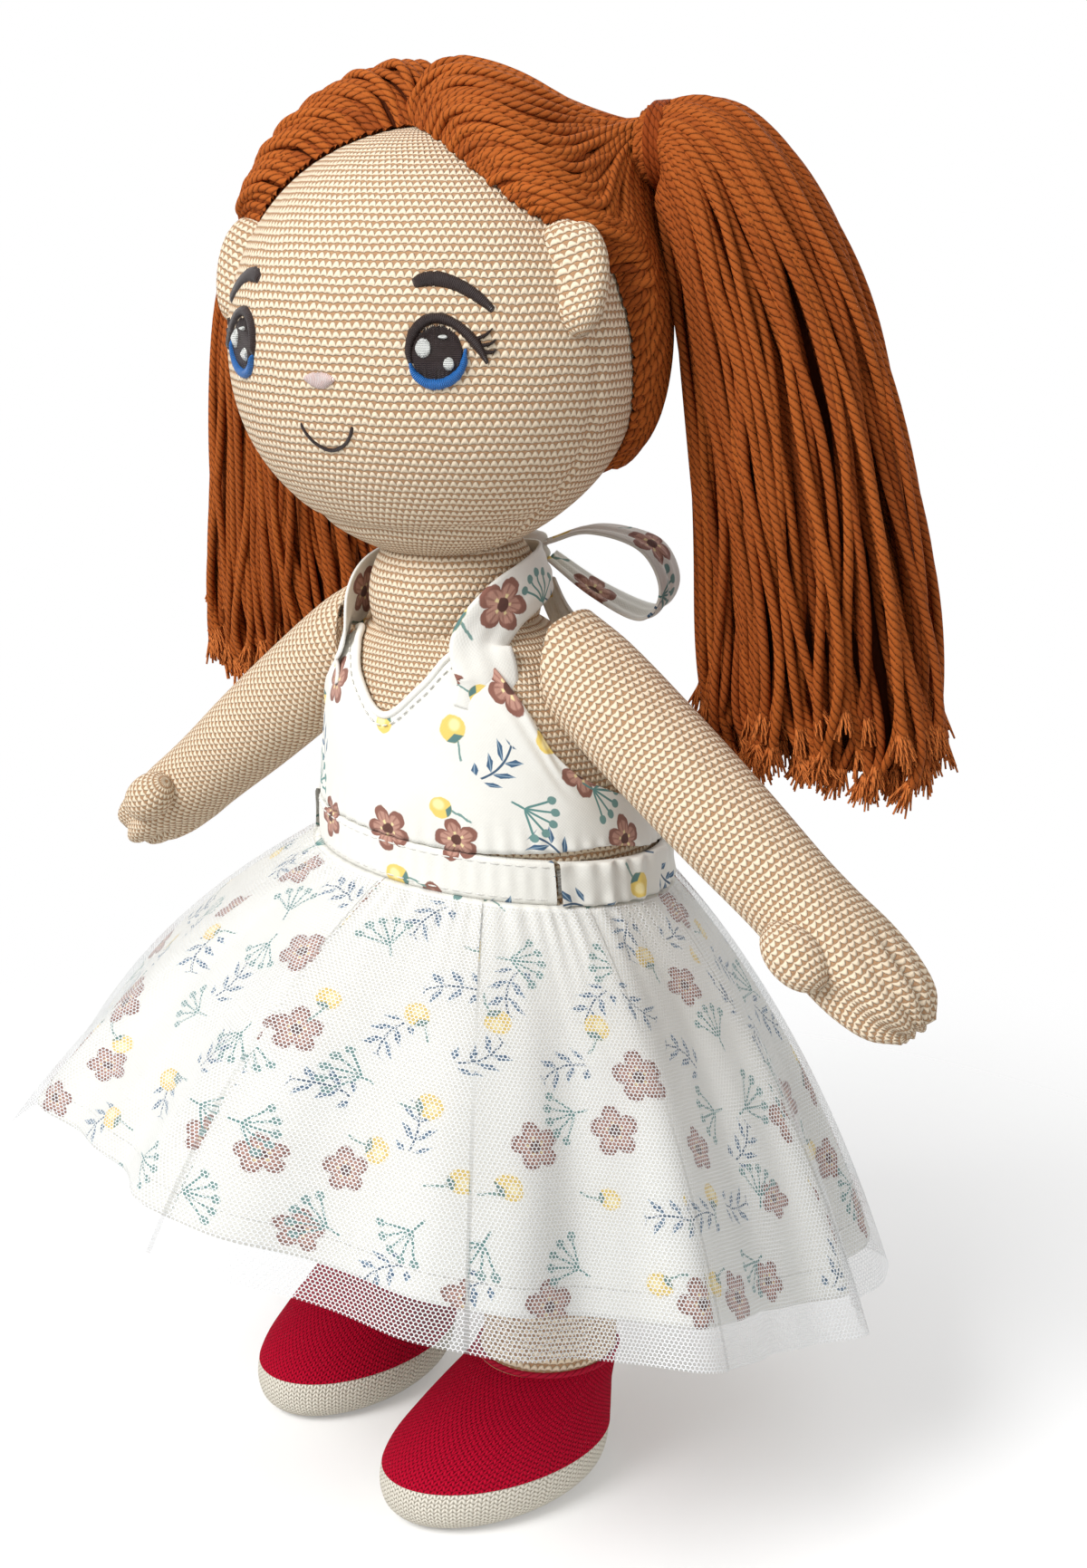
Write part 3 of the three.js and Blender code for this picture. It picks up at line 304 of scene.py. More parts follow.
# Middle, half sizes, height and lift of each glint
GLINTS = (((-2.9, 0.9), (1.7, 2.3), 0.85, 0.55), ((2.8, -2.4), (1.2, 1.6), 0.85, 0.55),
          ((1.5, 3.4), (1.0, 0.5), 0.8, 0.5))
BROW = ((-5.6, 15.4), (-2.6, 16.6), (1.2, 16.6), (5.4, 15.2), (9.6, 12.8), (13.8, 9.4))
BROW_WIDTHS = (2.6, 4.2, 4.3, 3.8, 3.3, 1.9)
NOSE_SPOT = (0, math.radians(-6))
NOSE = ((-4.6, 0.4), (-2.6, 0.2), (0, -0.1), (2.6, 0.2), (4.6, 0.4))
NOSE_WIDTHS = (0.6, 3.1, 4.0, 3.1, 0.6)
MOUTH_SPOT = (0, math.radians(-20.5))
MOUTH = ((-8.0, 2.6), (-6.5, -0.2), (-4.0, -2.5), (0, -3.8), (4.0, -2.5), (6.5, -0.2), (8.0, 2.6))
MOUTH_WIDTHS = (1.1, 1.0, 1.1, 1.2, 1.1, 1.0, 1.1)
STITCH_SUNK = 0.3
LEAST_HALF_STITCH = 0.12
RAGGED_SHARE = 0.06

# Camera
AZIMUTH = math.radians(39)
PITCH = math.radians(15)
DISTANCE = 543
SIDE_SHIFT = 19.5
CAMERA_LEVEL = 327
LENS = 50
SENSOR_HEIGHT = 36

# Lamps and floor
LAMP_AIM = np.array([0, 0, 170])
# Azimuth and pitch in degrees, distance, size and power
LAMPS = {
    'key': (-8, 38, 1300, 700, 17),
    'side': (95, 20, 1400, 900, 2.5),
    'back': (200, 35, 1400, 900, 5),
}
FLOOR_RADIUS = 1200
FLOOR_DROP = 0.25
FLOOR_FADE = (420, 120)
FLOOR_COVER = 0.8

# Knit and print
STITCH = 1.9
COURSE = 1.8
FINE_STITCH = 1.25
NET_PITCH = 1.05
THREAD_PITCH = 0.42


# Shared shapes

def read_table(rows, shares):
    """Smooth reading of a table whose first column rises, at many places."""
    shares = np.atleast_1d(np.asarray(shares, float))
    last = len(rows) - 2
    k = np.clip(np.searchsorted(rows[:, 0], shares, side='left') - 1, 0, last)
    start, end = rows[k], rows[k + 1]
    before, after = rows[np.maximum(k - 1, 0)], rows[np.minimum(k + 2, last + 1)]
    span = (end[:, :1] - start[:, :1])
    t = (shares[:, None] - start[:, :1]) / span
    start_slope = (end - before) / (end[:, :1] - before[:, :1])
    end_slope = (after - start) / (after[:, :1] - start[:, :1])
    blend = t * t * (3 - 2 * t)
    bend = t * (1 - t) * (1 - t) * span * start_slope + t * t * (t - 1) * span * end_slope
    return start + (end - start) * blend + bend


def ramp(low, high, value):
    t = np.clip((np.asarray(value, float) - low) / (high - low), 0, 1)
    return t * t * (3 - 2 * t)


def unit(vectors):
    return vectors / np.maximum(np.linalg.norm(vectors, axis=-1, keepdims=True), 1e-9)


def turn_z(points, angle):
    c, s = math.cos(angle), math.sin(angle)
    return points @ np.array([[c, s, 0], [-s, c, 0], [0, 0, 1]])


def smooth_path(points, count):
    """Even parameter steps along a smooth curve through the points."""
    points = np.asarray(points, float)
    rows = np.column_stack([np.arange(len(points)), points])
    return read_table(rows, np.linspace(0, len(points) - 1, count))[:, 1:]


def full_circle(count):
    return np.linspace(0, FULL_TURN, count, endpoint=False)


def run_along(line):
    """Length from the start of a line to each of its places."""
    return np.concatenate([[0], np.cumsum(np.linalg.norm(np.diff(line, axis=0), axis=1))])


def evenly(line, places):
    """Places at given lengths along a line."""
    length = run_along(line)
    return np.stack([np.interp(places, length, line[:, k]) for k in range(3)], -1)


def paired(u, v):
    return np.stack(np.broadcast_arrays(u, v), -1)


def half_widths(widths, steps):
    return smooth_path(np.asarray(widths, float)[:, None], steps)[:, 0] / 2


def strip(line, across, v, half):
    """Rows of points along a line, half a width to each side of it."""
    return line[:, None] + across[:, None] * (v[None, :, None] * half[:, None, None])


def make_object(name, points, faces, loop_uv, material, tone=None):
    mesh = bpy.data.meshes.new(name)
    mesh.from_pydata((np.asarray(points) * MM).tolist(), [], np.asarray(faces).tolist())
    layer = mesh.uv_layers.new(name='UVMap')
    layer.data.foreach_set('uv', np.asarray(loop_uv, np.float32).ravel())
    mesh.polygons.foreach_set('use_smooth', [True] * len(mesh.polygons))
    if tone is not None:
        mesh.attributes.new('tone', 'FLOAT', 'POINT').data.foreach_set('value', tone.astype(np.float32))
    mesh.materials.append(material)
    made = bpy.data.objects.new(name, mesh)
    bpy.context.scene.collection.objects.link(made)
    return made


def grid_faces(rows, cols, wrap):
    index = np.arange(rows * cols).reshape(rows, cols)
    beside = np.roll(index, -1, axis=1)
    across = cols if wrap else cols - 1
    corners = [index[:-1, :across], beside[:-1, :across], beside[1:, :across], index[1:, :across]]
    return np.stack(corners, -1).reshape(-1, 4)


def grid_uv(uv):
    across = uv.shape[1] - 1
    corners = [uv[:-1, :across], uv[:-1, 1:], uv[1:, 1:], uv[1:, :across]]
    return np.stack(corners, 2).reshape(-1, 2)


def grid(name, points, uv, material, wrap=False):
    """A sheet of quads over rows and columns of points. A wrapped one closes round."""
    rows, cols = points.shape[:2]
    faces = grid_faces(rows, cols, wrap)
    flat = points.reshape(-1, 3)
    middle = flat.mean(0)
    corner = flat[faces] - middle
    outward = np.einsum('ij,ij->i', corner[:, 0], np.cross(corner[:, 1], corner[:, 2])).sum() > 0
    loop_uv = grid_uv(uv).reshape(-1, 4, 2)
    if not outward:
        faces, loop_uv = faces[:, ::-1], loop_uv[:, ::-1]
    return make_object(name, flat, faces, loop_uv.reshape(-1, 2), material)


def round_uv(cols, width, heights):
    """UV in millimetres for a wrapped grid with a steady width round it."""
    u = np.linspace(0, width, cols + 1)
    return paired(u[None, :], np.asarray(heights)[:, None])


def lofted(name, rings, width, material, closed_start=True, closed_end=True):
    """Rings of points skinned over, with rounded off ends, UV in millimetres."""
    rings = np.asarray(rings, float)
    if closed_start:
        rings = np.concatenate([rings[:1].mean(1, keepdims=True).repeat(rings.shape[1], 1), rings])
    if closed_end:
        rings = np.concatenate([rings, rings[-1:].mean(1, keepdims=True).repeat(rings.shape[1], 1)])
    steps = np.linalg.norm(np.diff(rings, axis=0), axis=2).mean(1)
    heights = np.concatenate([[0], np.cumsum(steps)])
    return grid(name, rings, round_uv(rings.shape[1], width, heights), material, wrap=True)


def tubes(name, paths, radii, material, tones, sides=7):
    """Round strands along paths, as one mesh. U goes round a strand, V counts its twist."""
    points, faces, uvs, shades = [], [], [], []
    start = 0
    around = full_circle(sides)
    for path, radius, tone in zip(paths, radii, tones):
        along = unit(np.gradient(path, axis=0))
        normal = np.zeros_like(path)
        seed = np.array([0.31, 1, 0.17]) if abs(along[0, 1]) < 0.9 else np.array([1, 0.2, 0.1])
        for k, direction in enumerate(along):
            seed = seed - direction * (seed @ direction)
            seed = seed / np.linalg.norm(seed)
            normal[k] = seed
        side = np.cross(along, normal)
        radius = np.broadcast_to(radius, len(path))
        ring = (np.cos(around)[None, :, None] * normal[:, None]
                + np.sin(around)[None, :, None] * side[:, None])
        tube = path[:, None] + ring * radius[:, None, None]
        rows = len(path)
        faces.append(grid_faces(rows, sides, True) + start)
        uv = round_uv(sides, 1, run_along(path) / PLY_TURN + tone * 3)
        uvs.append(grid_uv(uv))
        points.append(tube.reshape(-1, 3))
        shade = np.broadcast_to(np.asarray(tone, float), rows).copy()
        shades.append(np.repeat(shade, sides))
        start += rows * sides
    return make_object(name, np.concatenate(points), np.concatenate(faces),
                       np.concatenate(uvs), material, np.concatenate(shades))


def joined(made, *others):
    """Puts other meshes into the first one."""
    bpy.ops.object.select_all(action='DESELECT')
    for other in others:
        other.select_set(True)
    made.select_set(True)
    bpy.context.view_layer.objects.active = made
    bpy.ops.object.join()
    made.select_set(False)
    return made


def place(made, body, slot, *nodes):
    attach(made, body)
    if nodes:
        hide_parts(*nodes)


# Shader values

def operation(kind):
    return lambda value, *others: value.math(kind, *others)


class Value:
    """A shader value that sums, products and functions can be made of."""

    __add__ = operation('ADD')
    __sub__ = operation('SUBTRACT')
    __mul__ = operation('MULTIPLY')
    __truediv__ = operation('DIVIDE')
    floor = operation('FLOOR')
    fract = operation('FRACT')
    sin = operation('SINE')
    cos = operation('COSINE')
    abs = operation('ABSOLUTE')
    most = operation('MAXIMUM')
    least = operation('MINIMUM')

    def __init__(self, tree, socket):
        self.tree = tree
        self.socket = socket

    def math(self, kind, *others):
        node = self.tree.nodes.new('ShaderNodeMath')
        node.operation = kind
        for slot, value in zip(node.inputs, (self, *others)):
            if isinstance(value, Value):
                self.tree.links.new(value.socket, slot)
            else:
                slot.default_value = value
        return Value(self.tree, node.outputs[0])

    def root(self):
        return self.math('MAXIMUM', 0).math('SQRT')

    def minus_from(self, number):
        return (self * -1) + number

    def step(self, low, high):
        """0 below low, 1 above high, smooth between."""
        node = self.tree.nodes.new('ShaderNodeMapRange')
        node.interpolation_type = 'SMOOTHSTEP'
        self.tree.links.new(self.socket, node.inputs['Value'])
        node.inputs['From Min'].default_value = min(low, high)
        node.inputs['From Max'].default_value = max(low, high)
        node.inputs['To Min'].default_value = 0 if low < high else 1
        node.inputs['To Max'].default_value = 1 if low < high else 0
        return Value(self.tree, node.outputs['Result'])


class Paint:
    """A material under construction: its UV in millimetres, its colour and its relief."""

    def __init__(self, name, roughness=0.9, sheen=0.0, specular=0.2):
        self.material = bpy.data.materials.new(name)
        self.material.use_nodes = True
        self.tree = self.material.node_tree
        self.shader = self.tree.nodes['Principled BSDF']
        self.shader.inputs['Roughness'].default_value = roughness
        self.shader.inputs['Sheen Weight'].default_value = sheen
        self.shader.inputs['Sheen Roughness'].default_value = 0.6
        self.shader.inputs['Specular IOR Level'].default_value = specular
        coordinates = self.tree.nodes.new('ShaderNodeTexCoord')
        split = self.tree.nodes.new('ShaderNodeSeparateXYZ')
        self.tree.links.new(coordinates.outputs['UV'], split.inputs[0])
        self.u = Value(self.tree, split.outputs[0])
        self.v = Value(self.tree, split.outputs[1])
        self.object_space = coordinates.outputs['Object']

    def noise(self, size, detail=2, roughness=0.5):
        """Cloudy value round 0.5 whose lumps are about size millimetres."""
        node = self.tree.nodes.new('ShaderNodeTexNoise')
        self.tree.links.new(self.object_space, node.inputs['Vector'])
        node.inputs['Scale'].default_value = 1 / (size * MM)
        node.inputs['Detail'].default_value = detail
        node.inputs['Roughness'].default_value = roughness
        return Value(self.tree, node.outputs['Fac'])

    def attribute(self, name):
        node = self.tree.nodes.new('ShaderNodeAttribute')
        node.attribute_name = name
        return Value(self.tree, node.outputs['Fac'])

    def chance(self, x, y):
        """Three random values for the cell that x and y fall in."""
        join = self.tree.nodes.new('ShaderNodeCombineXYZ')
        self.tree.links.new(x.socket, join.inputs[0])
        self.tree.links.new(y.socket, join.inputs[1])
        node = self.tree.nodes.new('ShaderNodeTexWhiteNoise')
        node.noise_dimensions = '2D'
        self.tree.links.new(join.outputs[0], node.inputs['Vector'])
        split = self.tree.nodes.new('ShaderNodeSeparateColor')
        self.tree.links.new(node.outputs['Color'], split.inputs[0])
        return [Value(self.tree, split.outputs[k]) for k in range(3)]

    def mix(self, share, first, second):
        node = self.tree.nodes.new('ShaderNodeMix')
        node.data_type = 'RGBA'
        if isinstance(share, Value):
            self.tree.links.new(share.socket, node.inputs['Factor'])
        else:
            node.inputs['Factor'].default_value = share
        for name, colour in (('A', first), ('B', second)):
            slot = [s for s in node.inputs if s.name == name and s.type == 'RGBA'][0]
            if isinstance(colour, tuple):
                slot.default_value = colour
            else:
                self.tree.links.new(colour, slot)
        return [s for s in node.outputs if s.type == 'RGBA'][0]

    def colour(self, socket):
        if isinstance(socket, tuple):
            self.shader.inputs['Base Color'].default_value = socket
        else:
            self.tree.links.new(socket, self.shader.inputs['Base Color'])

    def relief(self, height, depth, strength=1.0):
        """Bump whose height of 1 stands depth millimetres up."""
        node = self.tree.nodes.new('ShaderNodeBump')
        node.inputs['Distance'].default_value = depth * MM
        node.inputs['Strength'].default_value = strength
        self.tree.links.new(height.socket, node.inputs['Height'])
        self.tree.links.new(node.outputs[0], self.shader.inputs['Normal'])

    def see_through(self, cover):
        self.tree.links.new(cover.socket, self.shader.inputs['Alpha'])


def rgb(text):
    """Linear colour from a hexadecimal screen colour."""
    parts = [int(text[k:k + 2], 16) / 255 for k in (0, 2, 4)]
    linear = [p / 12.92 if p <= 0.04045 else ((p + 0.055) / 1.055) ** 2.4 for p in parts]
    return (*linear, 1.0)


def purl(paint, stitch, course):
    """Relief of the purl side: rows of short rounded bars, each set half a stitch over."""
    wander = paint.noise(5 * stitch) + paint.noise(1.6 * stitch) * 0.5 - 0.75
    x = paint.u / stitch + wander * 0.5
    y = paint.v / course + wander * 0.6
    row = y.floor()
    over = (row * 0.5).fract()
    fx = (x + over).fract() - 0.5
    fy = y.fract() - 0.5
    sag = fx * fx * 1.4
    fy = fy + sag - 0.15
    return (((fx * fx * 3.1) + (fy * fy * 5.5)).minus_from(1)).root()


def knit_paint(name, light, gap, stitch=STITCH, course=COURSE, depth=0.7):
    paint = Paint(name, roughness=0.95, sheen=0.05, specular=0.1)
    bumps = purl(paint, stitch, course)
    cloud = paint.noise(0.5, 3) - 0.5
    # painted shade: the gap colour darkens the knit where the stitch relief is low, in the gaps between
    # stitches
    shade = (bumps + cloud * 0.6).step(-0.05, 0.75)
    soft = paint.mix(paint.noise(24), rgb(light), paint.mix(0.12, rgb(light), rgb(gap)))
    paint.colour(paint.mix(shade, rgb(gap), soft))
    paint.relief(bumps + cloud * 0.25, depth)
    return paint.material


def stockinette_paint(name, light, gap, stitch, depth=0.7):
    """Columns of small V stitches, with painted shade in the gaps between them."""
    paint = Paint(name, roughness=0.95, specular=0.08)
    wander = paint.noise(6 * stitch) - 0.5
    x = (paint.u / stitch + wander * 0.3).fract() - 0.5
    lean = x.abs() * 1.2
    y = (paint.v / stitch + lean + wander * 0.3).fract() - 0.5
    leg = (x.abs() - 0.25)
    bumps = ((leg * leg * 9) + (y * y * 3)).minus_from(1).root()
    cloud = paint.noise(0.4, 3) - 0.5
    # painted shade: the gap colour darkens the knit where the stitch relief is low
    shade = (bumps + cloud * 0.3).step(0.1, 0.8)
    paint.colour(paint.mix(shade, rgb(gap), rgb(light)))
    paint.relief(bumps + cloud * 0.2, depth)
    return paint.material


def yarn_paint(name, bright, middle, dark, depth=0.45):
    """Plied yarn: three plies that wind round each strand, with loose fibres, and painted shade in the
    grooves between the plies.
    """
    paint = Paint(name, roughness=0.8, specular=0.12)
    ply = (paint.u * 3 + paint.v * 3).fract() - 0.5
    round_ply = (ply * ply * 4).minus_from(1).root()
    fibre = paint.noise(0.45, 4, 0.6)
    tone = paint.attribute('tone')
    body = paint.mix(tone.step(0, 1), rgb(middle), rgb(bright))
    # painted shade: the dark colour fills the grooves between plies and the low parts of the fibre noise
    shade = (round_ply * 0.6 + fibre * 0.8).step(0.15, 1.0)
    paint.colour(paint.mix(shade, rgb(dark), body))
    paint.relief(round_ply + fibre * 0.4, depth)
    return paint.material


def satin_paint(name, colour, across=False):
    """Satin stitch: fine threads side by side, with a painted highlight on their crowns."""
    paint = Paint(name, roughness=0.38, specular=0.5)
    lane = paint.v if across else paint.u
    thread = ((lane / THREAD_PITCH).fract() - 0.5).abs() * 2
    glint = paint.noise(1.3, 2)
    base = rgb(colour)
    lit = tuple(min(1, c * 1.7 + 0.015) for c in base[:3]) + (1.0,)
    # painted highlight: a lighter copy of the thread colour on the crowns of the threads, in patches of
    # noise
    paint.colour(paint.mix((thread.minus_from(1) * glint * 1.4).step(0.1, 1), base, lit))
    paint.relief(thread.minus_from(1), 0.3)
    return paint.material


def cotton_weave(paint):
    warp = (paint.u * 2.4 * math.pi).sin()
    weft = (paint.v * 2.4 * math.pi).sin()
    return warp * weft * 0.5 + 0.5


def cotton_paint(name, printed=True):
    """White cotton with blossoms, buds, leaf sprigs and berries strewn over it."""
    paint = Paint(name, roughness=0.85, sheen=0.15, specular=0.2)
    ground = paint.mix(paint.noise(18), rgb('EFEEE8'), rgb('E4E2DA'))
    if printed:
        wander = paint.noise(40) - 0.5
        shape = paint.noise(2.2, 2) - 0.5
        for pitch_u, pitch_v, shift, first, second in MOTIF_LATTICES:
            x = (paint.u + shift + wander * 6) / pitch_u
            y = (paint.v + shift * 0.7 + wander * 6) / pitch_v
            x = x + (y.floor() * 0.5).fract()
            kind, turn, size = paint.chance(x.floor() + shift, y.floor() + shift * 3)
            place_x, place_y, _ = paint.chance(x.floor() + 41 + shift, y.floor() - 17)
            fx = (x.fract() - 0.5) * pitch_u - (place_x - 0.5) * (pitch_u * 0.3)
            fy = (y.fract() - 0.5) * pitch_v - (place_y - 0.5) * (pitch_v * 0.3)
            angle = turn * FULL_TURN
            c, s = angle.cos(), angle.sin()
            px = fx * c + fy * s
            py = fy * c - fx * s
            for low, high, motif in ((0, 0.45, first), (0.45, 0.84, second)):
                chosen = kind.math('GREATER_THAN', low) * kind.math('LESS_THAN', high)
                for cover, colour in motif(px, py, shape, size * 0.3 + 1.05):
                    ground = paint.mix(cover * chosen, ground, rgb(colour))
    paint.colour(ground)
    weave = cotton_weave(paint)
    wrinkle = paint.noise(9, 3)
    paint.relief(weave * 0.06 + wrinkle * 0.6, 0.9, 0.6)
    return paint.material


def radius_of(px, py):
    return (px * px + py * py).math('SQRT')


def blossom(px, py, shape, size):
    """Five round petals, veined and lighter inside, with a dark eye."""
    r = radius_of(px, py) / size + shape * 1.1
    heading = py.math('ARCTAN2', px)
    petal = (heading * 2.5).cos().abs().math('POWER', 0.6)
    rim = petal * 2.3 + 3
    inside = (rim - r).step(0, 0.3)
    light = (rim * 0.78 - r).step(0, 0.5)
    vein = (heading * 15).sin().step(0.25, 0.9) * (r - 1.4).step(0, 1)
    eye = r.minus_from(1.35).step(0, 0.25)
    dots = (heading * 5).cos().step(0.3, 0.9) * (r - 1.6).abs().step(0.5, 0.2)
    return [(inside, '8A5D50'), (light, 'B98C7C'), (light * vein * 0.65, '8A5D50'),
            (dots, 'E9D7A0'), (eye, '5E3B33')]


def bud(px, py, shape, size):
    """A round yellow bud on a thin stem with a cup of sepals."""
    r = radius_of(px, py) / size + shape * 0.8
    stem = (px + shape * 1.2 + (py * 0.5).sin() * 0.5).abs().step(0.42, 0.22)
    stem = stem * (py * -1).step(1.5, 2) * py.step(-8.2, -7.6)
    head = r.minus_from(2.7).step(0, 0.3)
    glow = radius_of(px - 0.6, py - 0.7).step(1.9, 0.9)
    cup = head * (py + 1.1 + px.abs() * 0.5).step(0, -0.35)
    return [(stem, '7B9A94'), (head, 'E9CC6E'), (glow, 'F7E6A8'), (cup, '5B7F7C')]


def sprig(px, py, shape, size):
    """A curved stem with pairs of pointed leaves."""
    bend = px + py * py * 0.035 - 0.8
    stem = (bend.abs() + shape * 0.2).step(0.38, 0.2) * py.abs().step(6.4, 6)
    side = bend.abs()
    pair = ((py - side * 0.8 + 1) / 4.6).fract() - 0.5
    leaf = (pair.abs() * 3.4 + (side - 2.2).abs() * 0.4 + shape * 0.5).step(0.98, 0.8)
    leaf = leaf * side.step(0.3, 0.6) * py.abs().step(6.6, 6.2)
    return [(stem, '3F5A73'), (leaf, '42617E'), (leaf * pair.abs().step(0.05, 0.02), '8FA6B8')]


def berries(px, py, shape, size):
    """Thin stalks fanning out of one point, each with a berry at its end."""
    down = py + 4.5
    r = radius_of(px, down) + shape * 0.5
    heading = px.math('ARCTAN2', down)
    ray = (heading / 0.42 + 0.5).fract() - 0.5
    fan = heading.abs().step(1.1, 1.0)
    stalk = (ray.abs() * r * 0.42).step(0.4, 0.2) * fan * r.step(7.4, 7)
    berry = radius_of(ray * r * 0.42, r - 8).step(1.25, 1.0) * fan
    foot = (px + shape * 0.4).abs().step(0.4, 0.2) * down.step(0.1, 0) * down.step(-3.5, -3)
    return [(stalk, '5F8C88'), (foot, '5F8C88'), (berry, '6F9490')]


MOTIF_LATTICES = (
    (21, 18.5, 0, blossom, sprig),
    (23, 20, 9.7, bud, berries),
)


def tulle_paint(name):
    """Net of thin threads round six-sided holes."""
    paint = Paint(name, roughness=0.6, sheen=0.3, specular=0.3)
    size = NET_PITCH
    high = size * math.sqrt(3)
    near = None
    for shift in (0, 0.5):
        fx = ((paint.u / size + shift).fract() - 0.5) * size
        fy = ((paint.v / high + shift).fract() - 0.5) * high
        along = fx.abs()
        slope = (fx.abs() * 0.5 + fy.abs() * (math.sqrt(3) / 2))
        reach = along.most(slope)
        near = reach if near is None else near.least(reach)
    wire = near.step(size * 0.5 - 0.17, size * 0.5 - 0.09)
    cloud = paint.noise(30)
    paint.colour(rgb('EDEFF0'))
    paint.relief(wire, 0.1)
    paint.see_through(wire * 0.85 + cloud * 0.06 + 0.02)
    return paint.material


def plain_paint(name, colour, roughness=0.7, grain=0.5, depth=0.2):
    paint = Paint(name, roughness=roughness)
    cloud = paint.noise(grain, 3)
    paint.colour(paint.mix(cloud, rgb(colour), tuple(0.6 * c for c in rgb(colour)[:3]) + (1.0,)))
    paint.relief(cloud, depth)
    return paint.material


def elastic_paint(name):
    paint = Paint(name, roughness=0.8, specular=0.2)
    rib = ((paint.v / 0.9).fract() - 0.5).abs() * 2
    cross = ((paint.u / 0.7).fract() - 0.5).abs() * 2
    # painted shade: the darker grey lies in the grooves between the ribs
    paint.colour(paint.mix(rib.step(0.6, 1), rgb('F1EFEA'), rgb('B9B6AE')))
    paint.relief(rib.minus_from(1) + cross * 0.3, 0.4)
    return paint.material


# the second colour of each knit is painted shade for the gaps between its stitches
cream_knit = knit_paint('cream_knit', 'F3E1C6', 'AF8865')
sole_knit = stockinette_paint('sole_knit', 'E8E2D4', 'B3A893', FINE_STITCH)
crimson_knit = stockinette_paint('crimson_knit', 'BA0B2E', '720419', FINE_STITCH)
# the darkest colour of each yarn is painted shade for the grooves between its plies
hair_yarn = yarn_paint('hair_yarn', 'B25E25', '8A4018', '421804')
hair_ends = yarn_paint('hair_ends', 'D0763A', 'B4602A', '6E3212')
# painted shade: dark hair colours for the sheets that show between the strands of the hair cap and inside
# the pigtails
painted_shade_hair = yarn_paint('painted_shade_hair', '6E3212', '5C280D', '2C0F03')
cotton = cotton_paint('printed_cotton')
white_thread = plain_paint('white_thread', 'F4F2EC', 0.6)
tulle = tulle_paint('tulle_net')
cotton_plain = cotton_paint('plain_cotton', printed=False)
crimson_yarn = yarn_paint('crimson_yarn', 'C01B38', 'A5132F', '5F0717', 0.3)
tie_yarn = yarn_paint('tie_yarn', '9A4A1E', '84390F', '4A1B05', 0.3)
elastic = elastic_paint('elastic_tape')
dark_satin = satin_paint('dark_satin', '2B1D1B')
dark_satin_across = satin_paint('dark_satin_across', '2B1D1B', across=True)
blue_satin = satin_paint('blue_satin', '2468B0')
white_satin = satin_paint('white_satin', 'E8EAE4', across=True)
pink_satin = satin_paint('pink_satin', 'F0CFC8')


# Torso, neck and limbs

def torso_section(levels, standoff):
    height = TORSO_TOP - TORSO_BOTTOM
    shares = np.clip((np.asarray(levels, float) - TORSO_BOTTOM) / height, 0, 1)
    table = read_table(TORSO_SHARES, shares)
    half_width = TORSO_HALF_WIDTH * table[:, 1] + standoff
    half_depth = TORSO_HALF_DEPTH * table[:, 2] + standoff
    y = STAND_Y + BELLY_SET_BACK - (BELLY_SET_BACK + CHEST_SET_FORWARD) * table[:, 3]
    return half_width, half_depth, y


def torso_points(azimuths, levels, standoff):
    """Points on the torso for matching arrays of azimuths and levels."""
    azimuths, levels, standoff = np.broadcast_arrays(azimuths, levels, standoff)
    shape = azimuths.shape
    half_width, half_depth, y = torso_section(levels.ravel(), standoff.ravel())
    x = STAND_X + half_width * np.sin(azimuths.ravel())
    y = y - half_depth * np.cos(azimuths.ravel())
    return np.stack([x, y, levels.ravel()], -1).reshape(*shape, 3)


def build_torso():
    azimuths = full_circle(140) + math.pi
    levels = TORSO_BOTTOM + (TORSO_TOP - TORSO_BOTTOM) * np.linspace(0, 1, 90) ** 0.9
    rings = torso_points(azimuths[None, :], levels[:, None], 0)
    skin = lofted('torso_knit', rings, TORSO_GIRTH, cream_knit)
    place(skin, 'torso', 'knit', 'torso_skin', 'torso_filling')


def ball_rings(middle, halves, rows, cols, low=-0.97, high=0.97):
    latitudes = np.linspace(math.pi / 2 * low, math.pi / 2 * high, rows)[:, None]
    longitudes = full_circle(cols)[None, :]
    rings = np.stack([
        halves[0] * np.cos(latitudes) * np.sin(longitudes),
        -halves[1] * np.cos(latitudes) * np.cos(longitudes),
        halves[2] * np.sin(latitudes) * np.ones_like(longitudes)], -1)
    return rings + middle


def unit_ball(rows, cols):
    return ball_rings(np.zeros(3), (1, 1, 1), rows, cols)


def build_neck():
    rings = ball_rings(NECK_MIDDLE, np.full(3, NECK_RADIUS - SEAT_GAP), 40, 90)
    band = lofted('neck_knit', rings, NECK_GIRTH, cream_knit)
    place(band, 'neck', 'knit', 'neck_skin', 'neck_filling')


def thumb(shoulder, along, thick):
    middle = shoulder + along * (THUMB_SHARE * ARM_LENGTH)
    middle[1] -= ARM_HALF_WIDTH
    axes = np.stack([
        thick * THUMB_HALVES[1], np.array([0, -THUMB_HALVES[0], 0]), along * THUMB_HALVES[2]])
    return lofted('thumb', middle + unit_ball(24, 36) @ axes, THUMB_GIRTH, cream_knit)


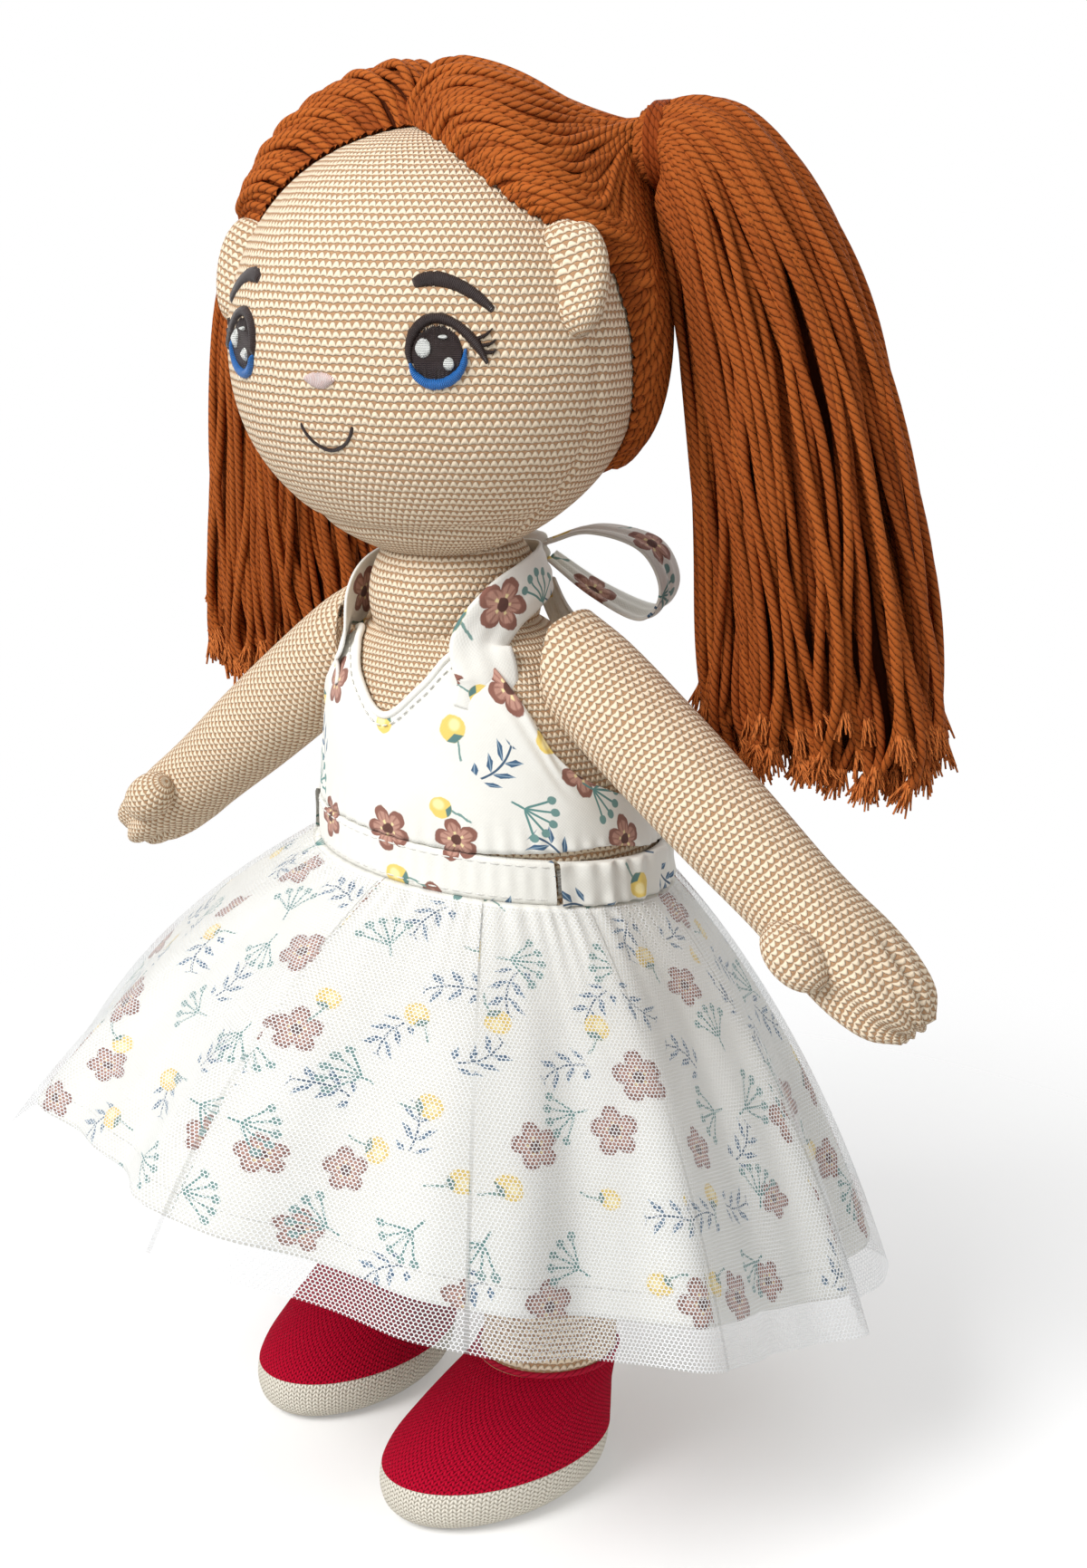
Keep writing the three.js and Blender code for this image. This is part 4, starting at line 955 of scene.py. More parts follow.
def build_arm(name, side):
    along = np.array([side * math.cos(ARM_SLOPE), 0, -math.sin(ARM_SLOPE)])
    broad = np.array([0, 1, 0])
    thick = unit(np.cross(along, broad))
    shoulder = np.array([STAND_X + side * SHOULDER_X, STAND_Y, SHOULDER_LEVEL])
    share = np.linspace(0, 1, 90)
    table = read_table(ARM_SHARES, share)
    around = full_circle(64)
    length = share * (ARM_LENGTH + ARM_ROOT) - ARM_ROOT
    middles = shoulder + along * length[:, None]
    middles[:, 1] += share * ARM_SET_BACK
    c, s = np.cos(around)[None, :, None], np.sin(around)[None, :, None]
    # grooves part the fingers of the mitten, and two seams run down the arm
    palm = ramp(*PALM_SHARES, share)[:, None, None]
    finger = np.abs(np.sin(FULL_TURN * c))
    groove = (1 - finger) ** 2
    seam = sum(np.exp(-((around[None, :, None] - ARM_SEAM_AT - half_turn) / ARM_SEAM_SPREAD) ** 2)
               for half_turn in (0, math.pi))
    dent = 1 - FINGER_GROOVE_SHARE * groove * palm - ARM_SEAM_DEPTH_SHARE * seam * (1 - palm)
    rings = middles[:, None] + (
        broad * (c * (ARM_HALF_WIDTH * table[:, 1])[:, None, None])
        + thick * (s * (ARM_HALF_THICKNESS * table[:, 2])[:, None, None])) * dent
    rings = rings + along * (FINGER_LENGTH * finger * palm)
    inner = STAND_X + side * ARM_SEAT
    rings[:, :, 0] = side * np.maximum(side * rings[:, :, 0], side * inner)
    arm = lofted(f'arm_{name}_knit', rings, ARM_GIRTH, cream_knit)
    joined(arm, thumb(shoulder, along, thick))
    place(arm, f'arm_{name}', 'knit', f'arm_skin_{name}', f'arm_filling_{name}')


def leg_rings(name, levels, standoff=0.0):
    """Rings of a leg and foot at levels, from the sole up to the hip's cap."""
    side, foot_x, foot_y, toe_in = FEET[name]
    forward = np.array([math.sin(toe_in), -math.cos(toe_in), 0])
    sideways = np.array([-forward[1], forward[0], 0])
    ankle = np.array([STAND_X + foot_x, STAND_Y + foot_y, ANKLE_LEVEL])
    hip = np.array([STAND_X + side * HIP_X, STAND_Y + LEG_SET_BACK, HIP_LEVEL])
    around = full_circle(96)
    foot = read_table(FOOT_SHARES, np.minimum(levels / ANKLE_LEVEL, FOOT_TOP_SHARE))
    t = np.clip((levels - ANKLE_LEVEL) / (HIP_LEVEL - ANKLE_LEVEL), 0, 1)
    radius = ANKLE_RADIUS + (HIP_RADIUS - ANKLE_RADIUS) * t
    cap = np.clip((levels - HIP_LEVEL) / HIP_RADIUS, 0, 1)
    radius = radius * np.sqrt(1 - cap ** 2)
    blend = ramp(*ANKLE_BLEND_SHARES, levels / ANKLE_LEVEL)
    length = FOOT_HALF_LENGTH * foot[:, 2] * (1 - blend) + radius * blend
    width = FOOT_HALF_WIDTH * foot[:, 3] * (1 - blend) + radius * blend
    middles = ankle + (hip - ankle) * t[:, None]
    middles = middles + forward * (FOOT_FORWARD * foot[:, 1] * (1 - blend))[:, None]
    middles[:, 2] = levels
    return (middles[:, None]
            + sideways * (np.cos(around)[None, :, None] * (width + standoff)[:, None, None])
            + forward * (np.sin(around)[None, :, None] * (length + standoff)[:, None, None]))


def build_leg(name):
    body = f'leg_{name}'
    sole = leg_rings(name, np.concatenate([[0], np.linspace(SOLE_ROUNDING, SOLE_LEVEL, 26)]))
    sole = lofted(f'sole_{name}_knit', sole, LEG_GIRTH, sole_knit, closed_end=False)
    place(sole, body, 'cream', f'shoe_sole_{name}')
    upper = leg_rings(name, np.linspace(SOLE_LEVEL - UPPER_OVERLAP, CUFF_LEVEL, 44), UPPER_STANDOFF)
    upper = lofted(f'shoe_{name}_knit', upper, LEG_GIRTH, crimson_knit, False, False)
    place(upper, body, 'crimson', f'shoe_upper_{name}')
    cuff = leg_rings(name, np.array([CUFF_LEVEL]), CUFF_STANDOFF)[0]
    edge = tubes(f'cuff_{name}_stitches', [np.concatenate([cuff, cuff[:2]])], [CUFF_RADIUS],
                 crimson_yarn, [0.5])
    place(edge, body, 'crimson')
    levels = np.concatenate([np.linspace(CUFF_LEVEL - LEG_TUCK, HIP_LEVEL, 60),
                             HIP_LEVEL + HIP_RADIUS * np.sin(np.linspace(0.1, 1.5, 14))])
    skin = lofted(f'leg_{name}_knit', leg_rings(name, levels), LEG_GIRTH, cream_knit, False, True)
    place(skin, body, 'knit', f'leg_skin_{name}', f'leg_filling_{name}')


# Head

def on_head(points):
    flat = np.asarray(points, float).reshape(-1, 3)
    return (turn_z(flat, HEAD_TURN) + HEAD_MIDDLE).reshape(np.shape(points))


def head_offset(longitudes, latitudes, standoff=0.0):
    longitudes, latitudes, standoff = np.broadcast_arrays(longitudes, latitudes, standoff)
    shape = longitudes.shape
    round_share = read_table(HEAD_SHAPE_SHARES, latitudes.ravel() / FULL_TURN)[:, 1].reshape(shape)
    round_share = round_share * np.cos(latitudes)
    return np.stack([
        (HEAD_HALVES[0] + standoff) * round_share * np.sin(longitudes),
        -(HEAD_HALVES[1] + standoff) * round_share * np.cos(longitudes),
        (HEAD_HALVES[2] + standoff) * np.sin(latitudes)], -1)


def head_frame(longitude, latitude):
    place_at = head_offset(longitude, latitude)
    outward = unit(place_at / HEAD_HALVES ** 2)
    side = unit(np.cross([0, 0, 1], outward))
    return place_at, outward, side, np.cross(outward, side)


def build_head():
    latitudes = np.linspace(-0.98, 0.98, 130)[:, None] * math.pi / 2
    longitudes = full_circle(240)[None, :] + math.pi
    from_front = (longitudes + math.pi) % FULL_TURN - math.pi
    crease_at = CHIN_CREASE - CREASE_DROP * np.cos(from_front)
    crease = np.exp(-((latitudes - crease_at) / CREASE_SPREAD) ** 2)
    crease = crease * ramp(*CREASE_ENDS, np.abs(from_front))
    seam = np.exp(-((np.abs(from_front) - HEAD_SEAM) / HEAD_SEAM_SPREAD) ** 2)
    seam = seam * ramp(*HEAD_SEAM_ENDS, latitudes)
    rings = on_head(head_offset(longitudes, latitudes, -CREASE_DEPTH * crease - HEAD_SEAM_DEPTH * seam))
    index = np.arange(rings.shape[1] + 1) / rings.shape[1] - 0.5
    waist = np.cos(latitudes) ** 0.45
    uv = paired(index[None, :] * HEAD_GIRTH * waist, latitudes * HEAD_ROUND)
    head = grid('head_knit', rings, uv, cream_knit, wrap=True)
    place(head, 'head', 'knit', 'head_skin', 'head_filling')


def build_ear(name, side):
    place_at, outward, across, rise = head_frame(side * EAR_LONGITUDE, EAR_LATITUDE)
    c, s = math.cos(side * EAR_FLARE), math.sin(side * EAR_FLARE)
    reach = outward * c + np.cross(rise, outward) * s
    thick = across * c + np.cross(rise, across) * s
    ball = unit_ball(40, 60)
    taper = 1 + EAR_TAPER_SHARE * ball[:, :, 2:3]
    dish = ramp(0.2, 1, -side * ball[:, :, 1:2]) * ramp(0.9, 0.2, np.abs(ball[:, :, 2:3]))
    dish = 1 - EAR_DISH_SHARE * dish
    axes = np.stack([reach * EAR_HALVES[0], thick * EAR_HALVES[1], rise * EAR_HALVES[2]])
    shaped = ball * np.concatenate([taper, dish, np.ones_like(dish)], -1)
    ear = lofted(f'ear_{name}_knit', on_head(place_at + shaped @ axes), EAR_GIRTH, cream_knit)
    place(ear, 'head', 'knit', f'ear_{name}')


# Embroidery

def on_face(points, height, longitude, latitude, lift=0.0):
    """Places in millimetres sideways and up from a spot on the face, laid on the skin."""
    place_at, _, side, rise = head_frame(longitude, latitude)
    flat = place_at + points[..., 0:1] * side + points[..., 1:2] * rise
    laid = flat / np.linalg.norm(flat / HEAD_HALVES, axis=-1, keepdims=True)
    normal = unit(laid / HEAD_HALVES ** 2)
    return on_head(laid + normal * (height[..., None] + lift))


def satin_stroke(name, path, widths, spot, material, height=0.8, lift=0.0):
    """Raised satin stitch along a flat path of sideways and upward millimetres."""
    steps = max(24, 6 * len(path))
    line = smooth_path(path, steps)
    half = np.maximum(half_widths(widths, steps), LEAST_HALF_STITCH)
    along = unit(np.gradient(line, axis=0))
    across = np.stack([-along[:, 1], along[:, 0]], -1)
    v = np.linspace(-1, 1, 11)
    ends = np.clip(np.minimum(np.arange(steps), np.arange(steps)[::-1]) / 2.5, 0, 1)
    dome = np.sqrt(np.clip(1 - v[None, :] ** 2, 0, 1)) * np.sqrt(ends)[:, None]
    points = strip(line, across, v, half)
    rough = 1 + RAGGED_SHARE * random.standard_normal((steps, 1)) * np.abs(v[None, :])
    points = line[:, None] + (points - line[:, None]) * rough[:, :, None]
    surface = on_face(points, -STITCH_SUNK + (height + STITCH_SUNK) * dome, *spot, lift)
    uv = paired(run_along(line)[:, None], v[None, :] * half[:, None])
    made = grid(name, surface, uv, material)
    face = made.data.polygons[len(made.data.polygons) // 2]
    outward = face.center - mathutils.Vector(HEAD_MIDDLE * MM)
    if outward.dot(face.normal) < 0:
        made.data.flip_normals()
    return made


def satin_oval(name, middle, halves, spot, material, height=0.8, lift=0.0):
    t = np.linspace(-1, 1, 15)
    path = np.stack([middle[0] + halves[0] * t, np.full(15, middle[1])], -1)
    widths = 2 * halves[1] * np.sqrt(np.clip(1 - t * t, 0.015, 1))
    return satin_stroke(name, path, widths, spot, material, height, lift)


def mirrored(points, side):
    return [(side * x, y) for x, y in points]


def build_face():
    for name, side in SIDES:
        spot = (side * EYE_SPOT[0], EYE_SPOT[1])
        middle, halves = IRIS
        iris = satin_oval(f'eye_{name}_stitches', (side * middle[0], middle[1]), halves, spot,
                          dark_satin_across, 0.7)
        parts = [satin_stroke('arch', mirrored(LASH_ARCH, side), LASH_WIDTHS, spot, dark_satin, 0.9, 0.25)]
        for tick in LASH_TICKS:
            parts.append(satin_stroke('tick', mirrored(tick, side), TICK_WIDTHS, spot, dark_satin, 0.6, 0.1))
        parts.append(satin_stroke('crescent', mirrored(CRESCENT, side), CRESCENT_WIDTHS, spot,
                                  blue_satin, 0.85, 0.45))
        for middle, halves, height, lift in GLINTS:
            parts.append(satin_oval('glint', middle, halves, spot, white_satin, height, lift))
        joined(iris, *parts)
        place(iris, 'head', 'dark_thread', f'eye_stitching_{name}')
        brow = satin_stroke(f'brow_{name}_stitches', mirrored(BROW, side), BROW_WIDTHS, spot,
                            dark_satin, 0.9)
        place(brow, 'head', 'dark_thread', f'brow_stitching_{name}')
    nose = satin_stroke('nose_stitches', NOSE, NOSE_WIDTHS, NOSE_SPOT, pink_satin, 1.0)
    place(nose, 'head', 'pink_thread', 'nose_stitching')
    mouth = satin_stroke('mouth_stitches', MOUTH, MOUTH_WIDTHS, MOUTH_SPOT, dark_satin, 0.7)
    place(mouth, 'head', 'dark_thread', 'mouth_stitching')


# Dress

def waist_shift(azimuths):
    return WAIST_TILT * np.cos(azimuths - RAISED_WAIST)


def wrap_band(name, start, stop, edges, standoff, wall, material, cols=200, rows=12, ripple=None,
              wrap=False):
    """Cloth round the torso between two azimuths, turned in at its upper and lower edges."""
    azimuths = np.linspace(start, stop, cols, endpoint=not wrap)
    low, high = edges(azimuths)
    turned = 3
    steps = np.concatenate([np.zeros(turned), np.linspace(0, 1, rows), np.ones(turned)])
    inward = np.concatenate([np.linspace(1, 0.2, turned), np.zeros(rows), np.linspace(0.2, 1, turned)])
    inward[turned] = inward[-turned - 1] = 0.12
    levels = low[None, :] + (high - low)[None, :] * steps[:, None]
    lift = standoff + wall * (1 - inward[:, None]) + np.zeros_like(levels)
    if ripple is not None:
        lift = lift + ripple(azimuths[None, :], steps[:, None]) * (1 - inward[:, None])
    points = torso_points(azimuths[None, :] + 0 * levels, levels, lift)
    middle = (start + stop) / 2
    closed = np.concatenate([azimuths, [stop]]) if wrap else azimuths
    fall = levels[:, list(range(cols)) + [0]] if wrap else levels
    uv = paired((closed - middle)[None, :] * TORSO_ROUND, fall)
    return grid(name, points, uv, material, wrap=wrap)


def bodice_edges(azimuths):
    shares = (azimuths / FULL_TURN + 0.5) % 1 - 0.5
    table = read_table(BODICE_SHARES, shares)
    span = NECK_LEVEL - WAIST_LEVEL
    band_top = WAIST_LEVEL + BAND_HEIGHT / 2 + waist_shift(azimuths) + SEWN_GAP
    low = np.maximum(WAIST_LEVEL + table[:, 2] * span, band_top)
    return low, WAIST_LEVEL + table[:, 1] * span


def bodice_ripple(azimuths, steps):
    """Small puckers that run in from the armholes, and slack folds across the front."""
    lift = 0
    for corner in (ARMHOLE_SHARE, -ARMHOLE_SHARE):
        away = azimuths / FULL_TURN - corner
        near = np.exp(-(away / 0.03) ** 2) * ramp(0.35, 1, steps)
        lift = lift + 0.55 * near * np.cos(steps * 21 + away * 120)
    slack = 0.35 * np.sin(azimuths * 5 + steps * 4) * np.sin(steps * math.pi)
    foot = 0.25 * np.cos(azimuths * 62) * ramp(0.22, 0, steps)
    return lift + slack + foot + 0.35


def band_edges(azimuths):
    middle = WAIST_LEVEL + waist_shift(azimuths)
    return middle - BAND_HEIGHT / 2, middle + BAND_HEIGHT / 2


def band_ripple(azimuths, steps):
    return 0.12 * np.cos(azimuths * 70) * np.sin(steps * math.pi)


def casing_gathers(azimuths, steps):
    beat = np.cos(azimuths * 44 + 1.3 * np.sin(azimuths * 9)) * 0.5
    return (beat + 0.35 * np.cos(azimuths * 23 + 2)) * (0.75 + 0.35 * np.cos(steps * 6.3)) + 0.3


def elastic_edges(azimuths):
    middle = WAIST_LEVEL + waist_shift(azimuths)
    return middle - ELASTIC_HALF_HEIGHT, middle + ELASTIC_HALF_HEIGHT


def stitch_line(name, points, length=STITCH_LENGTH, gap=STITCH_SPACING, radius=THREAD_RADIUS):
    """Short straight stitches end to end along a line."""
    starts = np.arange(0, run_along(points)[-1] - length, length + gap)
    paths = [evenly(points, np.linspace(start, start + length, 4)) for start in starts]
    radii = [np.array([0.5, 1, 1, 0.5]) * radius] * len(paths)
    made = tubes(name, paths, radii, white_thread, [0.5] * len(paths), sides=5)
    place(made, 'torso', 'cotton')


def build_bodice():
    bodice = wrap_band('bodice_cloth', -math.pi, math.pi, bodice_edges, BODICE_STANDOFF, COTTON_WALL,
                       cotton, 420, 34, bodice_ripple, wrap=True)
    place(bodice, 'torso', 'cotton', 'bodice')
    azimuths = np.linspace(*(FULL_TURN * share for share in NECKLINE_SHARES), 120)
    _, high = bodice_edges(azimuths)
    line = torso_points(azimuths, high + PIPING_RISE, PIPING_STANDOFF)
    piping = tubes('neckline_piping_cloth', [line], [PIPING_RADIUS], cotton_plain, [0.5], sides=12)
    place(piping, 'torso', 'cotton', 'neckline_piping')
    stitches = torso_points(azimuths, high - NECK_STITCH_DROP, NECK_STITCH_LIFT)
    stitch_line('neckline_stitches', stitches, SMALL_STITCH_LENGTH, SMALL_STITCH_SPACING)


def build_waistband():
    band = wrap_band('waistband_cloth', -BAND_HALF_ANGLE, BAND_HALF_ANGLE, band_edges, BAND_STANDOFF,
                     BAND_WALL, cotton, 240, 12, band_ripple)
    place(band, 'torso', 'cotton', 'waistband_front')
    front = np.linspace(-BAND_HALF_ANGLE, BAND_HALF_ANGLE, 160)
    low, high = band_edges(front)
    for name, level in (('upper', high - BAND_STITCH_INSET), ('lower', low + BAND_STITCH_INSET)):
        stitch_line(f'waistband_{name}_stitches', torso_points(front, level, BAND_STITCH_LIFT))


def build_casing():
    start, stop = BAND_HALF_ANGLE + SIDE_SEAM, FULL_TURN - BAND_HALF_ANGLE - SIDE_SEAM
    casing = wrap_band('casing_cloth', start, stop, band_edges, CASING_STANDOFF, CASING_WALL, cotton,
                       520, 14, casing_gathers)
    place(casing, 'torso', 'cotton', 'waist_casing_back')
    tape = wrap_band('waist_elastic_tape', start, stop, elastic_edges, ELASTIC_STANDOFF, ELASTIC_WALL,
                     elastic, 160, 5)
    place(tape, 'torso', 'elastic', 'waist_elastic')


def thicken(made, wall):
    cloth = made.modifiers.new('cloth', 'SOLIDIFY')
    cloth.thickness = wall * MM
    cloth.offset = 0


def ribbon(name, route, middle, widths, steps, cols, cup, pleats, droop=0):
    """Folded cloth along a smooth route, its flat side away from a middle."""
    line = smooth_path(route, steps)
    along = unit(np.gradient(line, axis=0))
    drop = np.array([0, 0, 1]) * (droop * ramp(0.35, 0, np.linspace(0, 1, steps)))[:, None]
    outward = line - middle + drop
    outward = unit(outward - along * np.einsum('ij,ij->i', outward, along)[:, None])
    across = np.cross(along, outward)
    half = half_widths(widths, steps)
    v = np.linspace(-1, 1, cols)
    t = np.linspace(0, 1, steps)[:, None]
    pleat = np.cos(v[None, :] * 7 + 5 * t) * np.sin(v[None, :] * 2.2 + 1)
    bow = cup * (1 - v[None, :] ** 2) + pleats * pleat
    points = strip(line, across, v, half) + outward[:, None] * bow[:, :, None]
    uv = paired(v[None, :] * half[:, None], run_along(line)[:, None])
    made = grid(name, points, uv, cotton)
    thicken(made, RIBBON_WALL)
    return made


def knot_route(knot, side, shares, reach):
    return knot + shares * reach * np.array([side, 1, 1])


def strap_route(side):
    azimuths = side * STRAP_SHARES[:, 0] * FULL_TURN
    upper = NECK_MIDDLE + NECK_RADIUS * np.stack([
        STRAP_SHARES[:, 2] * np.sin(azimuths), -STRAP_SHARES[:, 2] * np.cos(azimuths),
        STRAP_SHARES[:, 1]], -1)
    lower = torso_points(side * FULL_TURN * STRAP_FOOT[:, 0], STRAP_FOOT[:, 1], STRAP_FOOT[:, 2])
    return np.concatenate([lower, upper])


def build_knot(knot):
    ball = unit_ball(36, 48)
    pinch = 1 + 0.09 * np.cos(np.arctan2(ball[:, :, 0], ball[:, :, 2]) * 7)[:, :, None]
    knotted = lofted('knot_cloth', knot + ball * pinch * KNOT_HALVES, KNOT_GIRTH, cotton)
    place(knotted, 'torso', 'cotton', 'halter_knot')


def build_straps():
    knot = NECK_MIDDLE + np.array([0, NECK_RADIUS + STRAP_STANDOFF + KNOT_HALVES[1], KNOT_HEIGHT])
    build_knot(knot)
    for name, side in SIDES:
        strap = ribbon(f'strap_{name}_cloth', strap_route(side), NECK_MIDDLE, STRAP_WIDTHS, 100, 16, 0.5,
                       0.3, STRAP_DROOP)
        place(strap, 'torso', 'cotton', f'halter_strap_{name}')
        route = knot_route(knot, side, BOW_LOOP_SHARES, BOW_LOOP)
        loop = ribbon(f'bow_loop_{name}_cloth', route, route.mean(0), BOW_LOOP_WIDTHS, 90, 14, 0.3, 0.5)
        place(loop, 'torso', 'cotton', f'bow_loop_{name}')
        route = knot_route(knot, side, BOW_TAIL_SHARES, BOW_TAIL)
        tail = ribbon(f'bow_tail_{name}_cloth', route, NECK_MIDDLE, BOW_TAIL_WIDTHS, 60, 14, 0.3, 0.7)
        place(tail, 'torso', 'cotton', f'bow_tail_{name}')


def skirt_points(azimuths, t, standoff, wander=0.0):
    """Points of the flared skirt at azimuths and shares of its length."""
    azimuths, t = np.broadcast_arrays(azimuths, t)
    waist = WAIST_LEVEL + waist_shift(azimuths) - BAND_HEIGHT / 2 - SEWN_GAP
    top = torso_points(azimuths, waist, SKIRT_STANDOFF + COTTON_WALL / 2)
    middle_y = STAND_Y + BELLY_SET_BACK
    heading = np.arctan2(top[..., 0] - STAND_X, middle_y - top[..., 1])
    reach = HEM_REACH + HEM_REACH_LEAN * np.cos(heading - WIDEST_HEM)
    level = HEM_LEVEL + HEM_TILT * np.cos(heading - RAISED_HEM)
    fold = FOLD_DEPTH * t * np.cos(FOLD_COUNT * azimuths) + wander
    out = np.hypot(top[..., 0] - STAND_X, top[..., 1] - middle_y)
    spread = t * (1 + DOME_SHARE * (1 - t))
    fall = t * (1 - DROOP_SHARE * (1 - t))
    radius = out + (reach - out) * spread + fold + standoff
    return np.stack([
        STAND_X + radius * np.sin(heading), middle_y - radius * np.cos(heading),
        waist + (level - waist) * fall + fold * t * FOLD_RISE_SHARE], -1)


def skirt_sheet(name, length, standoff, gather, wander, material, cols, rows):
    azimuths = full_circle(cols)[None, :] + math.pi
    t = np.linspace(0, length, rows)[:, None]
    pleat = gather * np.exp(-t * 9) * (np.cos(azimuths * 77 + 1.5 * np.sin(azimuths * 13))
                                       + 0.6 * np.cos(azimuths * 41 + 1))
    waves = wander * t * (np.cos(azimuths * 22 + 2 * np.sin(azimuths * 3) + t * 2)
                          + 0.7 * np.cos(azimuths * 31 + 1 + t * 3))
    start = standoff + pleat * ramp(0, 0.03, t) + SKIRT_LIFT
    points = skirt_points(azimuths, t, start, waves * ramp(0, 0.3, t))
    reach = HEM_REACH * PRINT_REACH_SHARE
    turns = np.arange(cols + 1)[None, :] / cols * FULL_TURN
    gore = FULL_TURN / FOLD_COUNT
    from_gore = (turns / gore + 0.5).astype(int)
    inside = turns - from_gore * gore
    radius = np.hypot(points[..., 0] - STAND_X, points[..., 1] - STAND_Y - BELLY_SET_BACK).mean(1)
    radius = radius[:, None]
    u = inside * radius * PRINT_STRETCH + from_gore * gore * reach
    fall = np.concatenate([[0], np.cumsum(np.linalg.norm(np.diff(points, axis=0), axis=2).mean(1))])
    return grid(name, points, paired(u, -fall[:, None]), material, wrap=True), points


def build_skirts():
    skirt, points = skirt_sheet('cotton_skirt_cloth', COTTON_SHARE, COTTON_WALL / 2, 0.55, 0.9, cotton,
                                720, 66)
    thicken(skirt, SKIRT_WALL)
    place(skirt, 'torso', 'cotton', 'cotton_skirt')
    line = points[HEM_STITCH_ROW]
    line = line + unit(line - line.mean(0)) * HEM_STITCH_LIFT
    stitch_line('hem_outer_stitches', np.concatenate([line, line[:1]]), radius=HEM_THREAD_RADIUS)
    veil, _ = skirt_sheet('tulle_skirt_net', 1, COTTON_WALL + TULLE_GAP, 0.5, 1.1, tulle, 640, 56)
    place(veil, 'torso', 'tulle', 'tulle_skirt')


# Hair

def cap_path(starts, ends, steps, lift_start, lift_end, bend, stray):
    """Paths over the scalp from the edge of the hair to the ties, all at once."""
    a = unit((starts - HAIR_OFFSET) / HAIR_HALVES)
    b = unit((ends - HAIR_OFFSET) / HAIR_HALVES)
    angle = np.arccos(np.clip(np.einsum('ij,ij->i', a, b), -1, 1))[:, None, None]
    t = np.linspace(0, 1, steps)[None, :, None]
    way = (a[:, None] * np.sin((1 - t) * angle) + b[:, None] * np.sin(t * angle)) / np.sin(angle)
    way = unit(way + bend[:, None] * (t * (1 - t) ** 2 * 6.75) + stray[:, None] * np.sin(t * 7))
    on_cap = HAIR_OFFSET + way * HAIR_HALVES
    on_skin = on_cap / np.linalg.norm(on_cap / HEAD_HALVES, axis=-1, keepdims=True)
    normal = unit(way / HAIR_HALVES)
    rise = np.clip(t / lift_start[:, None, None], 0, 1)
    rise = np.sqrt(np.clip(1 - (1 - rise) ** 2, 0, 1))
    path = on_skin * (1 - rise) + on_cap * rise
    path = path + normal * (lift_end[:, None, None] * rise + SCALP_CLEAR * (1 - rise))
    gather = ramp(0.55, 1, t)
    return path * (1 - gather) + ends[:, None] * gather


def hair_edge(side, count):
    """Loop of places round one half of the hair: hairline, ear, nape, middle line."""
    hairline = np.array([(x * side, y, z) for x, y, z in HAIRLINE], float)
    loop = smooth_path(hairline, 600)
    return evenly(loop, np.linspace(0, run_along(loop)[-1], count))


def tie_place(side):
    return np.array([side * (TIE[0] + TIE_KNOT_SHIFT[0]), TIE[1] + TIE_KNOT_SHIFT[1], TIE[2]])


def tail_curve(name):
    side, set_back, drop, shares = TAILS[name]
    route = np.stack([
        side * (TIE[0] + shares[:, 0] * TAIL_REACH), TIE[1] + shares[:, 1] * set_back,
        TIE[2] - shares[:, 2] * drop], -1)
    return on_head(route), shares[:, 3:]


def scalp_layer(side, layer, lift, start):
    """Paths and tones of one layer of strands on one half of the scalp."""
    edge = hair_edge(side, CAP_STRANDS)
    count = len(edge)
    order = np.arange(count)
    shift = np.roll(edge, layer, axis=0) * 0.5 + edge * 0.5 if layer else edge
    jitter = random.standard_normal((count, 3)) * CAP_JITTER
    heading = unit(np.gradient(edge, axis=0))
    hook = heading * (np.where(order % 2, 1, -1) * CAP_HOOK * layer)[:, None]
    starts = shift + jitter * 0.5 + hook
    spin = order / count * FULL_TURN * CAP_TURNS + layer
    reach = CAP_TIE_SPREAD * np.sqrt(random.random(count))
    ends = tie_place(side) + np.stack([0 * spin, np.cos(spin) * reach, np.sin(spin) * reach], -1)
    bend = heading * np.interp(order / count, SWEEP_AT, SWEEP_SHARES)[:, None]
    stray = random.standard_normal((count, 3)) * CAP_STRAY
    lifts = lift + random.random(count) * CAP_THICKNESS
    rise = start + random.random(count) * CAP_START_RANGE
    paths = cap_path(starts, ends, 44, rise, lifts, bend, stray)
    # painted shade: strands of the lower layer get a darker tone and the upper layer a lighter one, plus a
    # random share for each strand
    return on_head(paths), 0.25 + 0.35 * layer + 0.35 * random.random(count)


def painted_shade_hair_half(name, side):
    """Closed sheet of painted shade, in dark yarn colours, that shows between the strands of one half of the
    scalp.
    """
    count = PAINTED_SHADE_STRANDS
    ends = np.repeat(tie_place(side)[None], count, 0)
    straight = np.zeros((count, 3))
    paths = cap_path(hair_edge(side, count), ends, 40, np.full(count, 0.16),
                     np.full(count, PAINTED_SHADE_LIFT), straight, straight)
    uv = paired(np.arange(count)[:, None] * STRAND_PITCH, np.linspace(0, 60, 40)[None, :])
    place(grid(f'painted_shade_hair_{name}', on_head(paths), uv, painted_shade_hair), 'head', 'yarn')


def build_cap():
    scalp, tones = [], []
    for _, side in SIDES:
        for layer, (lift, start) in enumerate(CAP_LAYERS):
            paths, shades = scalp_layer(side, layer, lift, start)
            scalp.extend(paths)
            tones.extend(shades)
    hair = tubes('hair_cap_yarn', scalp, [YARN_RADIUS] * len(scalp), hair_yarn, tones)
    place(hair, 'head', 'yarn', 'hair_cap')
    for name, side in SIDES:
        painted_shade_hair_half(name, side)


